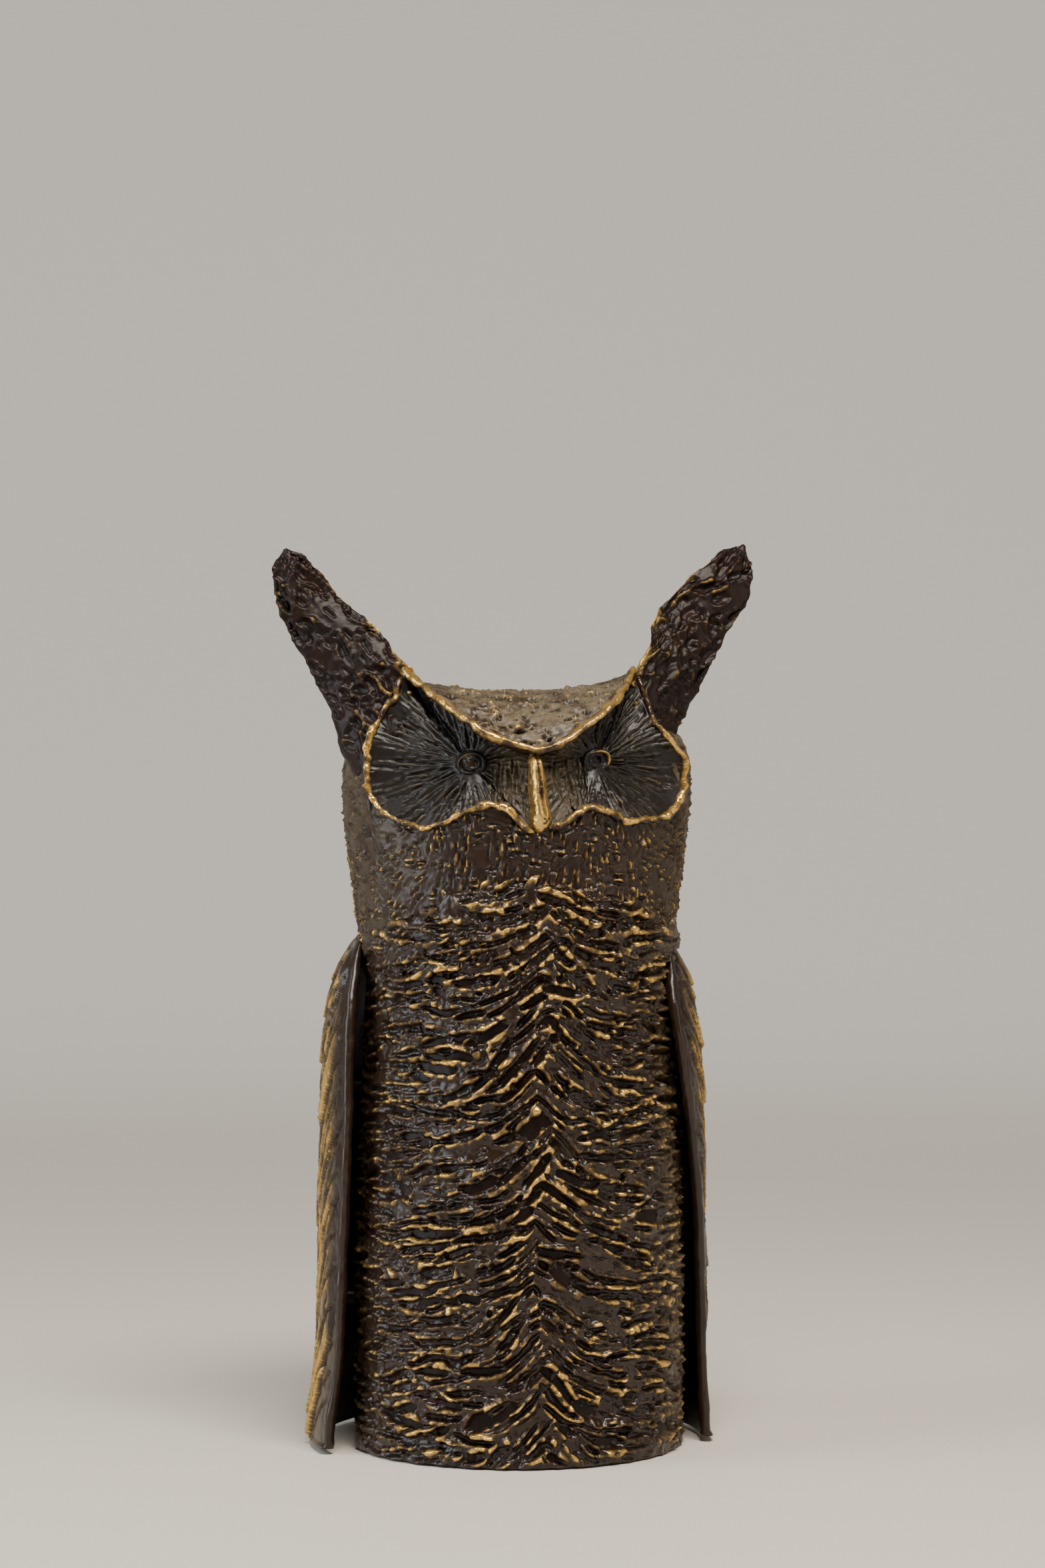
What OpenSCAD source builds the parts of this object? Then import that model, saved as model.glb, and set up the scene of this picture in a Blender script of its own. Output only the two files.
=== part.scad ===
// Owl figurine in cast bronze, built from the pieces that the sculptor worked separately:
// a hollow column with its breast feathers, a hollow head with two dished facial discs,
// blade-shaped ear tufts, and two wing shells that stand clear of the column on pinned lugs.
// The front of the owl faces -Y, up is +Z, and the origin is the middle of the felt pad's underside.

/* [Column] */
// Height of the seam between the column and the head
neck_z = 112; // [92:1:136]
// Radius over the breast feathers at the foot
foot_r = 37; // [30:0.5:45]
// Radius over the breast feathers at the neck
shoulder_r = 34.5; // [28:0.5:42]
// Wall of the column and the head
wall = 3; // [2.4:0.1:4]
// Thickness of the breast feather layer
feather_t = 1.8; // [1.4:0.1:2.4]
// How far the breast feathers climb over the throat
throat_rise = 12; // [8:0.5:15]
// Half angle of the breast layer, from straight ahead
breast_half_angle = 74; // [68:1:80]

/* [Head] */
// Height of the head above the neck seam
head_h = 56; // [46:1:68]
// Largest radius of the head
head_r = 39; // [34:0.5:46]
// Width of the bridge between the facial discs
nose_w = 3.2; // [2.6:0.1:4]
// How far each disc's plane lies inside the head's largest radius
disc_inset = 7; // [5.5:0.5:8.5]
// Angle of each disc's plane from straight ahead
disc_turn = 30.5; // [25:0.5:36]
// Thickness of a facial disc
disc_t = 1.8; // [1.4:0.1:2.4]
// Radius of the hollow in a facial disc
dish_r = 60; // [48:1:80]
// Width of the raised edge around a disc
rim_w = 1.6; // [1.2:0.1:2]
// How far the raised edge stands over the head
rim_proud = 1.4; // [0.8:0.1:2]
// Width of the brow ridge
brow_w = 2.4; // [1.8:0.1:3]
// Radius of an eyeball
eye_r = 3.4; // [2.8:0.1:4.2]
// Radius of the pupil's pit
pupil_r = 0.9; // [0.6:0.1:1.2]
// How far the beak stands over the bridge
beak_proud = 2.6; // [2:0.1:3.4]
// Length of the beak
beak_l = 17; // [14:0.5:20]

/* [Ear tufts] */
// Length of a blade above its root
tuft_l = 34; // [28:1:41]
// Straight root of a blade, from inside the head to where it clears the dome
tuft_root_l = 21; // [18:0.5:25]
// Width of a blade at its root
tuft_w = 19; // [16:0.5:23]
// Thickness of a blade at its root
tuft_t = 5; // [4:0.1:6]
// Outward lean of a blade from upright
tuft_lean = 31; // [22:1:38]
// Backward tilt of a blade
tuft_tilt = 10; // [4:1:16]

/* [Wings and tail] */
// How far a wing's outer face stands from the breast surface
wing_stand = 7; // [6.4:0.1:9]
// Thickness of a wing shell
wing_t = 3.2; // [2.4:0.1:3.6]
// Extra outward flare at a wing's lower end
wing_flare = 1.5; // [0:0.1:2.4]
// Angle of the left wing's front edge from straight ahead
left_wing_angle = 66; // [58:1:72]
// Angle of the right wing's front edge from straight ahead
right_wing_angle = 60; // [54:1:72]
// Thickness of the tail
tail_t = 4; // [3:0.1:4.8]
// Height of the tail
tail_h = 46; // [38:1:56]
// Thickness of the mantle feathers between the shoulders
mantle_t = 1.8; // [1.4:0.1:2.4]

/* [Joining and foot] */
// Radius of the dowels that carry the wings
wing_pin_r = 2; // [1.6:0.1:2.4]
// Radius of the lugs that space the wings from the column
lug_r = 4.5; // [3.8:0.1:5.4]
// Radius of the small pins in the tail, mantle, tufts and beak
small_pin_r = 1; // [0.8:0.1:1.2]
// Thickness of the closing plate in the foot
plate_t = 2.5; // [2:0.1:3]
// Thickness of the felt pad
felt_t = 1.2; // [1:0.1:1.6]
// How far the felt stands below the bronze
felt_proud = 0.5; // [0.3:0.1:0.8]
// Radius of a core plug
plug_r = 2.5; // [2:0.1:3]
// Radius of a foot screw's shank
screw_r = 1.5; // [1.2:0.1:1.8]

/* [Hidden] */
$fn = 64;
LEFT = -1;
RIGHT = 1;

patina = "#3a2a20";
worn_bronze = "#8a6a3a";
pin_bronze = "#a8803f";
felt_green = "#23332a";

foot_z = felt_proud;
neck_r = shoulder_r - 0.5 * feather_t;
head_top = neck_z + head_h;
widest_z = neck_z + 0.6 * head_h;
dome_h = head_top - widest_z;
face_z = neck_z + 0.69 * head_h;
spigot_h = 5;
spigot_t = 2;
overhang = 60;

function unit(x) = min(1, max(0, x));
function ease(x) = let (t = unit(x)) t * t * (3 - 2 * t);

// ---- Radii of the round forms at a height ----

function column_r(z) = foot_r + (shoulder_r - foot_r) * ease((z / neck_z - 0.35) / 0.65);
function core_r(z) = column_r(z) - feather_t;
// The head swells from the neck to its widest height, and a square-shouldered dome closes it.
function head_radius(z) = z < widest_z
    ? neck_r + (head_r - neck_r) * sin(90 * unit((z - neck_z) / (widest_z - neck_z)))
    : head_r * pow(max(0, 1 - pow((z - widest_z) / dome_h, 3)), 1 / 3.6);
// The face stays upright above the widest height, where the dome already turns in.
function face_radius(z) = z < widest_z ? head_radius(z) : head_r - 0.23 * (z - widest_z);

wing_low = foot_z;
wing_top = neck_z - 1;
wing_shoulder_z = 0.71 * neck_z;
wing_forward = 2;
function wing_standoff(z) = z < wing_shoulder_z
    ? wing_stand + wing_flare * pow(unit(1 - z / (0.27 * neck_z)), 2)
    : wing_stand * sqrt(1 - pow((z - wing_shoulder_z) / (neck_z + 0.2 - wing_shoulder_z), 2));
function wing_outer(z) = column_r(z) + wing_standoff(z);
function wing_inner(z) = wing_outer(z) - min(wing_t, 0.6 * wing_standoff(z));

// ---- Profiles, as [radius, height] points going up ----

function heights(a, b, n) = [for (i = [0:n]) a + (b - a) * i / n];
column_heights = heights(foot_z, neck_z, 14);
throat_heights = heights(neck_z, widest_z, 8);
function dome(r, h, inset) = [for (a = [0:10:90]) [(r - inset) * pow(cos(a), 2 / 3.6),
                                                   widest_z + (h - inset) * pow(sin(a), 2 / 3)]];
function turned(points) = [for (i = [len(points) - 1:-1:0]) points[i]];
shoulder_steps = [for (a = [0:12:84]) wing_shoulder_z + (wing_top - wing_shoulder_z) * sin(a) / sin(84)];
wing_heights = concat(heights(wing_low, wing_shoulder_z * 0.96, 9), shoulder_steps);

// ---- Placing ----

// Polar angle of a direction that is phi from straight ahead, on the given side.
function polar(phi, side) = 270 + side * phi;
module radial_rod(r, from, to, phi, side, z)
    rotate([0, 0, polar(phi, side)]) translate([from, 0, z]) rotate([0, 90, 0]) cylinder(r = r, h = to - from);
// Distance from the figure's axis to the wing radius r, in the direction phi from straight ahead.
function wing_reach(phi, r) = let (ey = -cos(phi), f = wing_forward) -f * ey + sqrt(f * f * (ey * ey - 1) + r * r);
module lathe(points) rotate_extrude() polygon(points);
module front_slab(outline, back = 0) translate([0, back, 0]) rotate([90, 0, 0])
    linear_extrude(height = overhang) polygon(outline);
module rear_slab(outline) translate([0, overhang, 0]) rotate([90, 0, 0])
    linear_extrude(height = overhang) polygon(outline);
module mirrored(side) mirror([side == RIGHT ? 1 : 0, 0, 0]) children();

// ---- Facial disc outline, for the left side ----
// Points are [distance outward along the disc's plane, height over the eye line], from the bridge's foot,
// along the chin edge, round the cheek to the root of the tuft, and back down the brow to the bridge.

disc_edge = [[-19, -14.6], [-16.5, -12.6], [-12, -9.3], [-7, -9], [-2, -11], [5, -13.4], [12, -14], [17.5, -11.6],
             [22, -6.6], [24, -0.6], [22.5, 4.9], [19, 10.4], [16, 15.9], [12.5, 18.4], [5.5, 12.4], [0, 8.2],
             [-7, 4.9], [-15, 3.2], [-20, 2.8]];
rim_end = 12;
brow_start = 13;
edge_steps = 3;
face_across = head_r / 39;
face_up = head_h / 56;

// A smooth curve through the points: edge_steps pieces between each two.
function bend(a, b, c, d, t) = 0.5 * (2 * b + (c - a) * t + (2 * a - 5 * b + 4 * c - d) * t * t
                                      + (3 * b - a - 3 * c + d) * t * t * t);
function curve(p) = let (n = len(p) - 1) [for (i = [0:n - 1]) for (k = [0:edge_steps - 1])
    bend(p[max(0, i - 1)], p[i], p[i + 1], p[min(n, i + 2)], k / edge_steps), ];
edge = [for (q = concat(curve(disc_edge), [disc_edge[len(disc_edge) - 1]])) [q[0] * face_across, q[1] * face_up]];
function outward(i) = let (d = edge[min(len(edge) - 1, i + 1)] - edge[max(0, i - 1)]) [d[1], -d[0]] / norm(d);
// A band of width w outside the edge, between two of the points of disc_edge.
function band(first, last, w) = let (i0 = first * edge_steps, i1 = last * edge_steps)
    concat([for (i = [i0:i1]) edge[i]], [for (i = [i1:-1:i0]) edge[i] + w * outward(i)]);

disc_plane = head_r - disc_inset;
dish_half = sqrt(head_r * head_r - disc_plane * disc_plane);
dish_sag = dish_r - sqrt(dish_r * dish_r - dish_half * dish_half);
pocket = dish_sag + disc_t + 1;

// The disc's own frame: x outward along its plane, y up, z out of the face. Its zero is the eye line.
module in_disc_frame() translate([0, 0, face_z]) rotate([0, 0, -disc_turn]) translate([0, -disc_plane, 0])
    rotate([90, 0, 0]) mirror([1, 0, 0]) children();
module face_prism(outline, depth) in_disc_frame() translate([0, 0, -depth])
    linear_extrude(height = depth + 2 * disc_inset) polygon(outline);
module left_of(x) translate([-overhang - x, -overhang, 0]) cube([overhang, 2 * overhang, head_top + overhang]);

module face_envelope(proud) lathe(concat([[0, neck_z]],
    [for (z = concat(throat_heights, heights(widest_z + 4, head_top + 6, 3))) [face_radius(z) + proud, z]],
    [[0, head_top + 6]]));
module face_pocket() intersection() {
    union() {
        face_prism(edge, pocket);
        face_prism(band(0, rim_end, rim_w), pocket);
        face_prism(band(brow_start, len(disc_edge) - 1, brow_w), pocket);
    }
    left_of(nose_w / 2);
}

// ---- Ear tuft frame: z runs up the blade, x across it, and its zero is where the root enters the dome ----

// How far the tuft's axis stands behind the plane of the facial disc, so that the two always meet.
tuft_setback = 6.164;
tuft_x = 0.745 * head_r;
tuft_y = (disc_plane - tuft_setback - tuft_x * sin(disc_turn)) / cos(disc_turn);
tuft_place = [-tuft_x, -tuft_y, neck_z + 0.86 * head_h];
tuft_inside = 0.6 * tuft_root_l;
tuft_clear = tuft_root_l - tuft_inside;
lens_n = 20;
module in_tuft_frame() translate(tuft_place) rotate([0, -tuft_lean, 0]) rotate([-tuft_tilt, 0, 0]) children();
function lens(w, t) = [for (i = [0:lens_n - 1]) let (a = 360 * i / lens_n)
    [w / 2 * cos(a), t / 2 * sin(a) * (0.75 + 0.25 * abs(sin(a)))]];
module tuft_root() in_tuft_frame() translate([0, 0, -tuft_inside]) linear_extrude(height = tuft_root_l)
    polygon(lens(tuft_w, tuft_t));

// ---- Head ----

crown_back = 0.55 * head_r;
crown_half = 0.66 * head_r;
crown_low = face_z + 7 * face_up;
// The crown's lower edge runs beside the brows, as a shallow V from the bridge to the tufts.
function crown_edge(x) = crown_low + 0.021 * x * x / face_across;
crown_outline = concat([for (k = [-8:8]) [k / 8 * crown_half, crown_edge(k / 8 * crown_half)]],
                       [[crown_half, head_top + 9], [-crown_half, head_top + 9]]);
module crown_region() front_slab(crown_outline, crown_back);

neck_inner = core_r(neck_z) - wall;
module head_outer() lathe(concat([[0, neck_z]], [for (z = throat_heights) [head_radius(z), z]], dome(head_r, dome_h, 0)));
module head_inner() lathe(concat([[0, neck_z - 1], [neck_inner, neck_z - 1], [neck_inner, neck_z + spigot_h]],
    [for (z = throat_heights) if (z > neck_z + 2 * spigot_h) [head_radius(z) - wall, z]], dome(head_r, dome_h, wall)));
module nose_bridge() intersection() {
    translate([-nose_w / 2, -overhang, face_z - 17 * face_up])
        cube([nose_w, overhang - disc_plane * 0.93, 23 * face_up]);
    head_outer();
}
module head_form() difference() {
    union() {
        difference() {
            head_outer();
            head_inner();
        }
        nose_bridge();
    }
    for (side = [LEFT, RIGHT]) mirrored(side) {
        face_pocket();
        tuft_root();
    }
}

module head_shell() color(patina) difference() {
    head_form();
    crown_region();
    beak_pin_hole();
    plug_holes(true);
}

module crown_cap() color(patina) intersection() {
    head_form();
    crown_region();
}

dish_centre_z = dish_r - dish_sag;
eye_across = -disc_plane * tan(disc_turn) + 0.35 * head_r / cos(disc_turn);
eye_up = 0;
eye_depth = dish_sag - eye_across * eye_across / (2 * dish_r) - 0.8;
module eye_ball(r) in_disc_frame() translate([eye_across, eye_up, -eye_depth]) sphere(r = r);

module facial_disc(side) color(patina) mirrored(side) difference() {
    intersection() {
        face_prism(edge, pocket);
        left_of(nose_w / 2);
        in_disc_frame() translate([0, 0, dish_centre_z]) difference() {
            sphere(r = dish_r + disc_t);
            sphere(r = dish_r);
        }
    }
    eye_ball(eye_r);
    tuft_root();
}

module disc_rim(side) color(worn_bronze) mirrored(side) difference() {
    intersection() {
        face_prism(band(0, rim_end, rim_w), pocket);
        face_envelope(rim_proud);
        left_of(nose_w / 2);
    }
    tuft_root();
}

module brow(side) color(worn_bronze) mirrored(side) difference() {
    intersection() {
        face_prism(band(brow_start, len(disc_edge) - 1, brow_w), pocket);
        face_envelope(rim_proud);
        left_of(nose_w / 2);
    }
    tuft_root();
}

module eye(side) color(worn_bronze) mirrored(side) difference() {
    eye_ball(eye_r);
    in_disc_frame() translate([eye_across, eye_up, -eye_depth + eye_r * 0.45]) cylinder(r = pupil_r, h = 2 * eye_r);
}

beak_top = face_z + 1.6 * face_up;
beak_low = beak_top - beak_l;
beak_mid = beak_low + 0.4 * beak_l;
beak_pin_z = beak_low + 0.55 * beak_l;
function face_y(z) = -max(face_radius(z), head_radius(z));
beak_side = concat([for (z = heights(beak_low, beak_top, 4)) [face_y(z) - 0.03, z]],
                   [[face_y(beak_top) - 0.4 * beak_proud, beak_top],
                    [face_y(beak_pin_z) - 0.94 * beak_proud, beak_pin_z],
                    [face_y(beak_mid) - beak_proud, beak_mid], [face_y(beak_low) - 0.5 * beak_proud, beak_low]]);
module beak_pin_hole() translate([0, 0, beak_pin_z]) rotate([90, 0, 0])
    cylinder(r = small_pin_r * 0.8, h = head_r + 0.5 * beak_proud);
module beak() color(worn_bronze) difference() {
    intersection() {
        translate([-nose_w / 2, 0, 0]) rotate([90, 0, 90]) linear_extrude(height = nose_w) polygon(beak_side);
        front_slab([[-0.36 * nose_w, beak_low], [0.5 * nose_w, beak_low], [0.5 * nose_w, beak_mid],
                    [0.28 * nose_w, beak_top], [-0.28 * nose_w, beak_top], [-0.5 * nose_w, beak_mid]]);
    }
    beak_pin_hole();
}
beak_pin_back = disc_plane * 0.93 - 1;
module beak_pin() color(pin_bronze) intersection() {
    beak_pin_hole();
    translate([-overhang, -2 * overhang - beak_pin_back, 0]) cube([2 * overhang, 2 * overhang, head_top]);
}

// ---- Ear tufts ----

blade_rings = 14;
// Share of the blade's length for each ring: closer together towards the rounded tip.
function ring_at(i) = sin(90 * i / blade_rings);
function blade_w(s) = max(0.08 * tuft_w, (1 - 0.32 * s) * tuft_w * sqrt(1 - pow(unit((s - 0.6) / 0.4), 2)));
function blade_t(s) = max(0.3 * tuft_t, (1 - 0.35 * s) * tuft_t * sqrt(1 - 0.7 * pow(unit((s - 0.6) / 0.4), 2)));
function blade_shift(s) = -0.06 * tuft_w * sin(180 * s);
blade_points = [for (i = [0:blade_rings]) let (s = ring_at(i), ring = lens(blade_w(s), blade_t(s)))
    for (p = ring) [p[0] + blade_shift(s), p[1], s * tuft_l]];
blade_faces = concat([[for (j = [0:lens_n - 1]) j]],
    [for (i = [0:blade_rings - 1]) for (j = [0:lens_n - 1]) let (a = i * lens_n, k = (j + 1) % lens_n)
        for (f = [[a + j, a + lens_n + j, a + lens_n + k], [a + j, a + lens_n + k, a + k]]) f],
    [[for (j = [lens_n - 1:-1:0]) blade_rings * lens_n + j]]);
tuft_pin_z = -tuft_inside + 2.5;
tuft_pin_l = tuft_t + 4;
module tuft_pin(r) in_tuft_frame() translate([0, tuft_pin_l / 2, tuft_pin_z]) rotate([90, 0, 0])
    cylinder(r = r, h = tuft_pin_l);
module ear_tuft(side) color(patina) mirrored(side) difference() {
    union() {
        tuft_root();
        in_tuft_frame() translate([0, 0, tuft_clear]) polyhedron(points = blade_points, faces = blade_faces);
    }
    tuft_pin(small_pin_r);
}
module tuft_pins() color(pin_bronze) for (side = [LEFT, RIGHT]) mirrored(side) tuft_pin(small_pin_r);

// ---- Column ----

throat_top = neck_z + throat_rise;
layer_heights = heights(neck_z, throat_top, 3);
breast_inner = concat([for (z = column_heights) [core_r(z), z]], [for (z = layer_heights) [head_radius(z), z]]);
breast_outer = concat([for (z = column_heights) [column_r(z) + 0.3 * feather_t * ease((z / neck_z - 0.85) / 0.15), z]],
                      [for (z = layer_heights) if (z > neck_z) [head_radius(z) + 0.7 * feather_t, z]]);
arch_half = overhang;
arch = concat([for (k = [-10:10]) let (x = k / 10 * 1.08 * shoulder_r)
                 [x, throat_top - throat_rise * pow(x / shoulder_r, 2)]],
              [[arch_half, neck_z - 2], [arch_half, -1], [-arch_half, -1], [-arch_half, neck_z - 2]]);
module breast_feathers() color(patina) intersection() {
    rotate([0, 0, polar(breast_half_angle, LEFT)]) rotate_extrude(angle = 2 * breast_half_angle)
        polygon(concat(breast_inner, turned(breast_outer)));
    front_slab(arch, 0);
}

plate_low = foot_z + felt_t - felt_proud;
plate_top = plate_low + plate_t;
plate_r = core_r(foot_z) - wall;
screw_at = plate_r - 5;
screw_angles = [30, 150, 270];
screw_lug_r = 2.6 * screw_r;
screw_lug_h = 9;
module at_screws() for (a = screw_angles) rotate([0, 0, a]) translate([screw_at, 0, 0]) children();

wing_pin_phi = 106;
wing_pin_heights = [0.28 * neck_z, 0.7 * neck_z];
function lug_from(z) = core_r(z) - 0.5 * wall;
module wing_rods(r, from_inset, to_depth) for (side = [LEFT, RIGHT]) for (z = wing_pin_heights)
    radial_rod(r, core_r(z) - from_inset, wing_reach(wing_pin_phi, wing_inner(z)) + to_depth, wing_pin_phi, side, z);
module wing_inner_form() translate([0, -wing_forward, 0])
    lathe(concat([[0, wing_low]], [for (z = wing_heights) [wing_inner(z), z]], [[0, wing_top]]));
tail_pin_heights = [0.22 * tail_h, 0.72 * tail_h];
mantle_pin_z = 0.83 * neck_z;
module back_rod(z, t) radial_rod(small_pin_r, core_r(z) - wall - 1.2, core_r(z) + 0.6 * t, 180, LEFT, z);
plug_spots = [[100, 0.5], [142, 0.5]];
module plug_holes(in_head) for (side = [LEFT, RIGHT]) for (spot = plug_spots)
    if (in_head) radial_rod(plug_r, 0.7 * head_r, head_r + 4, spot[0] + 20, side, neck_z + 0.5 * head_h);
    else radial_rod(plug_r, 0.7 * core_r(spot[1] * neck_z), foot_r + 4, spot[0], side, spot[1] * neck_z);

module body_shell() color(patina) difference() {
    union() {
        difference() {
            lathe(concat([[0, foot_z]], [for (z = column_heights) [core_r(z), z]], [[0, neck_z]]));
            lathe(concat([[0, foot_z - 1], [plate_r, foot_z - 1]], [for (z = column_heights) [core_r(z) - wall, z]],
                         [[neck_inner, neck_z + 1], [0, neck_z + 1]]));
        }
        // The spigot that registers the head.
        difference() {
            union() {
                translate([0, 0, neck_z - spigot_h]) cylinder(r = neck_inner + 0.5 * wall, h = spigot_h);
                translate([0, 0, neck_z - 1]) cylinder(r = neck_inner, h = spigot_h + 0.5);
            }
            translate([0, 0, neck_z - spigot_h - 1]) cylinder(r = neck_inner - spigot_t, h = 2 * spigot_h + 2);
        }
        intersection() {
            wing_rods(lug_r, 0.5 * wall, 4);
            wing_inner_form();
        }
        intersection() {
            at_screws() translate([0, 0, plate_top]) {
                cylinder(r = screw_lug_r, h = screw_lug_h);
                translate([0, -screw_lug_r, 0]) cube([wall + 5, 2 * screw_lug_r, screw_lug_h]);
            }
            cylinder(r = plate_r + 0.5 * wall, h = neck_z);
        }
    }
    wing_rods(wing_pin_r, wall + 1.5, 0);
    for (z = tail_pin_heights) back_rod(z, tail_t);
    back_rod(mantle_pin_z, mantle_t);
    at_screws() translate([0, 0, plate_top - 1]) cylinder(r = screw_r, h = screw_lug_h);
    plug_holes(false);
}

module neck_weld() color(worn_bronze) rotate([0, 0, polar(180 - (180 - breast_half_angle - 2), RIGHT)])
    rotate_extrude(angle = 360 - 2 * breast_half_angle - 4)
        polygon([[core_r(neck_z), neck_z], [core_r(neck_z), neck_z - 0.9], [neck_r - 0.1, neck_z]]);

// A plug fills the hole that a core pin left in the wall, and is filed flush outside.
module core_plugs() color(pin_bronze) {
    intersection() {
        plug_holes(false);
        difference() {
            lathe(concat([[0, foot_z]], [for (z = column_heights) [core_r(z), z]], [[0, neck_z]]));
            lathe(concat([[0, foot_z - 1]], [for (z = column_heights) [core_r(z) - wall - 0.8, z]], [[0, neck_z + 1]]));
        }
    }
    intersection() {
        plug_holes(true);
        difference() {
            head_outer();
            head_inner();
        }
    }
}

// ---- Wings, tail and mantle ----

// Half width of the opening between the wings at the back, as [share of the neck's height, half width].
back_opening = [[-0.02, 15], [0.27, 6], [0.45, 1.5], [0.55, 1.5], [0.76, 5], [1.02, 17]];
function opening(grow, low, high) = let (p = [for (q = back_opening) [q[1] + grow, q[0] * neck_z]])
    concat([for (q = p) if (q[1] >= low && q[1] <= high) [q[0], q[1]]],
           [for (q = turned(p)) if (q[1] >= low && q[1] <= high) [-q[0], q[1]]]);

module wing(side) color(patina) difference() {
    front_phi = side == LEFT ? left_wing_angle : right_wing_angle;
    span = 176 - front_phi;
    translate([0, -wing_forward, 0]) rotate([0, 0, side == LEFT ? polar(176, LEFT) : polar(front_phi, RIGHT)])
        rotate_extrude(angle = span) polygon(concat([for (z = wing_heights) [wing_inner(z), z]],
                                                    turned([for (z = wing_heights) [wing_outer(z), z]])));
    rear_slab(opening(0, -overhang, 2 * neck_z));
    wing_rods(wing_pin_r, wall + 1.5, 0.55 * wing_t);
}
module wing_pins() color(pin_bronze) wing_rods(wing_pin_r, wall + 1.5, 0.55 * wing_t);

module back_layer(t, low, high) difference() {
    rotate([0, 0, 45]) rotate_extrude(angle = 90) polygon(concat(
        [for (z = heights(low, high, 6)) [core_r(z), z]], turned([for (z = heights(low, high, 6)) [core_r(z) + t, z]])));
}
tail_half = 20;
module tail() color(patina) difference() {
    intersection() {
        back_layer(tail_t, foot_z, tail_h);
        rear_slab([[-tail_half, 0], [tail_half, 0], [0.4 * tail_half, tail_h + 1], [-0.4 * tail_half, tail_h + 1]]);
    }
    for (z = tail_pin_heights) back_rod(z, tail_t);
}
module tail_pins() color(pin_bronze) for (z = tail_pin_heights) back_rod(z, tail_t);

mantle_low = 0.66 * neck_z;
mantle_top = neck_z - 1.4;
module mantle() color(patina) difference() {
    intersection() {
        back_layer(mantle_t, mantle_low, mantle_top);
        rear_slab([[-1.6, mantle_low - 1], [1.6, mantle_low - 1], [3.8, 0.76 * neck_z], [15.4, 1.02 * neck_z],
                   [-15.4, 1.02 * neck_z], [-3.8, 0.76 * neck_z]]);
    }
    back_rod(mantle_pin_z, mantle_t);
}
module mantle_pin() color(pin_bronze) back_rod(mantle_pin_z, mantle_t);

// ---- Foot ----

module base_plate() color(worn_bronze) difference() {
    translate([0, 0, plate_low]) cylinder(r = plate_r, h = plate_t);
    at_screws() translate([0, 0, plate_low - 1]) cylinder(r = screw_r, h = plate_t + 2);
    at_screws() translate([0, 0, plate_low]) cylinder(r1 = 2 * screw_r, r2 = screw_r, h = screw_r);
}
module base_screws() color(pin_bronze) at_screws() {
    translate([0, 0, plate_low]) cylinder(r1 = 2 * screw_r, r2 = screw_r, h = screw_r);
    translate([0, 0, plate_low]) cylinder(r = screw_r, h = plate_t + screw_lug_h - 1);
}
module felt_pad() color(felt_green) cylinder(r = plate_r - 0.5, h = felt_t);

body_shell();
breast_feathers();
head_shell();
crown_cap();
facial_disc(LEFT);  // facial_disc_left
facial_disc(RIGHT);  // facial_disc_right
disc_rim(LEFT);  // disc_rim_left
disc_rim(RIGHT);  // disc_rim_right
brow(LEFT);  // brow_left
brow(RIGHT);  // brow_right
beak();
beak_pin();
eye(LEFT);  // eye_left
eye(RIGHT);  // eye_right
ear_tuft(LEFT);  // ear_tuft_left
ear_tuft(RIGHT);  // ear_tuft_right
tuft_pins();
wing(LEFT);  // wing_left
wing(RIGHT);  // wing_right
wing_pins();
tail();
tail_pins();
mantle();
mantle_pin();
neck_weld();
core_plugs();
base_plate();
base_screws();
felt_pad();
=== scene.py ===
"""Bronze owl: the sculpted pieces, their finishes and the studio, built over the solid model.

Lengths inside the builders are millimetres. The owl faces -Y, and left is the side at -X."""

import math

import bpy
import numpy as np
from bpy.props import FloatProperty, FloatVectorProperty, IntProperty, PointerProperty
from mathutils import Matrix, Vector


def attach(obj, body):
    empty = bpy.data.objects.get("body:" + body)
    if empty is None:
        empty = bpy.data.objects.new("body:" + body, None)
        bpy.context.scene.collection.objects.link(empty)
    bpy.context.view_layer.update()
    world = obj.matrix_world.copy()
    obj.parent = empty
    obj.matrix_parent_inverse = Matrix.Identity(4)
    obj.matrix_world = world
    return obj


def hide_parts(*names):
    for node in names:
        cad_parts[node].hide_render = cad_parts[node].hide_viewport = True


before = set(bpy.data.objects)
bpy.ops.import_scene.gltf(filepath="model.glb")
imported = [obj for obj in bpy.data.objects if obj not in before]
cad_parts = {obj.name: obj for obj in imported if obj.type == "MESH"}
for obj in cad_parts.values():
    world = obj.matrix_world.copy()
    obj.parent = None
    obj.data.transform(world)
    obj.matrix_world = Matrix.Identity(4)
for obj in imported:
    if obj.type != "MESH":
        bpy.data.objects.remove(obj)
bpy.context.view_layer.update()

bl_info = {
    "name": "Bronze Owl",
    "version": (1, 0, 0),
    "blender": (4, 5, 0),
    "location": "View3D > Sidebar > Owl",
    "description": "Builds a cast bronze owl from its sculpted pieces",
    "category": "Object",
}

MM = 0.001
LEFT = -1
RIGHT = 1
SIDE_NAME = {LEFT: "left", RIGHT: "right"}

# ---- Smooth steps, noise and blur ----

PLANE_TABLE = 64
SPACE_TABLE = 32


def held(x):
    """The value, held between 0 and 1."""
    return np.clip(x, 0, 1)


def step(x, low, high):
    """0 below low, 1 above high, and a smooth rise between them."""
    t = held((x - low) / (high - low))
    return t * t * (3 - 2 * t)


def hump(x, width):
    """1 at 0, falling softly away on both sides."""
    return np.exp(-((x / width) ** 2))


def circle(count):
    """So many angles, evenly spaced round a full turn."""
    return np.linspace(0, 2 * np.pi, count, endpoint=False)


def bearings(count):
    """So many angles from straight ahead, evenly spaced all round, as one row."""
    return np.linspace(-math.pi, math.pi, count, endpoint=False)[None, :]


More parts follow.
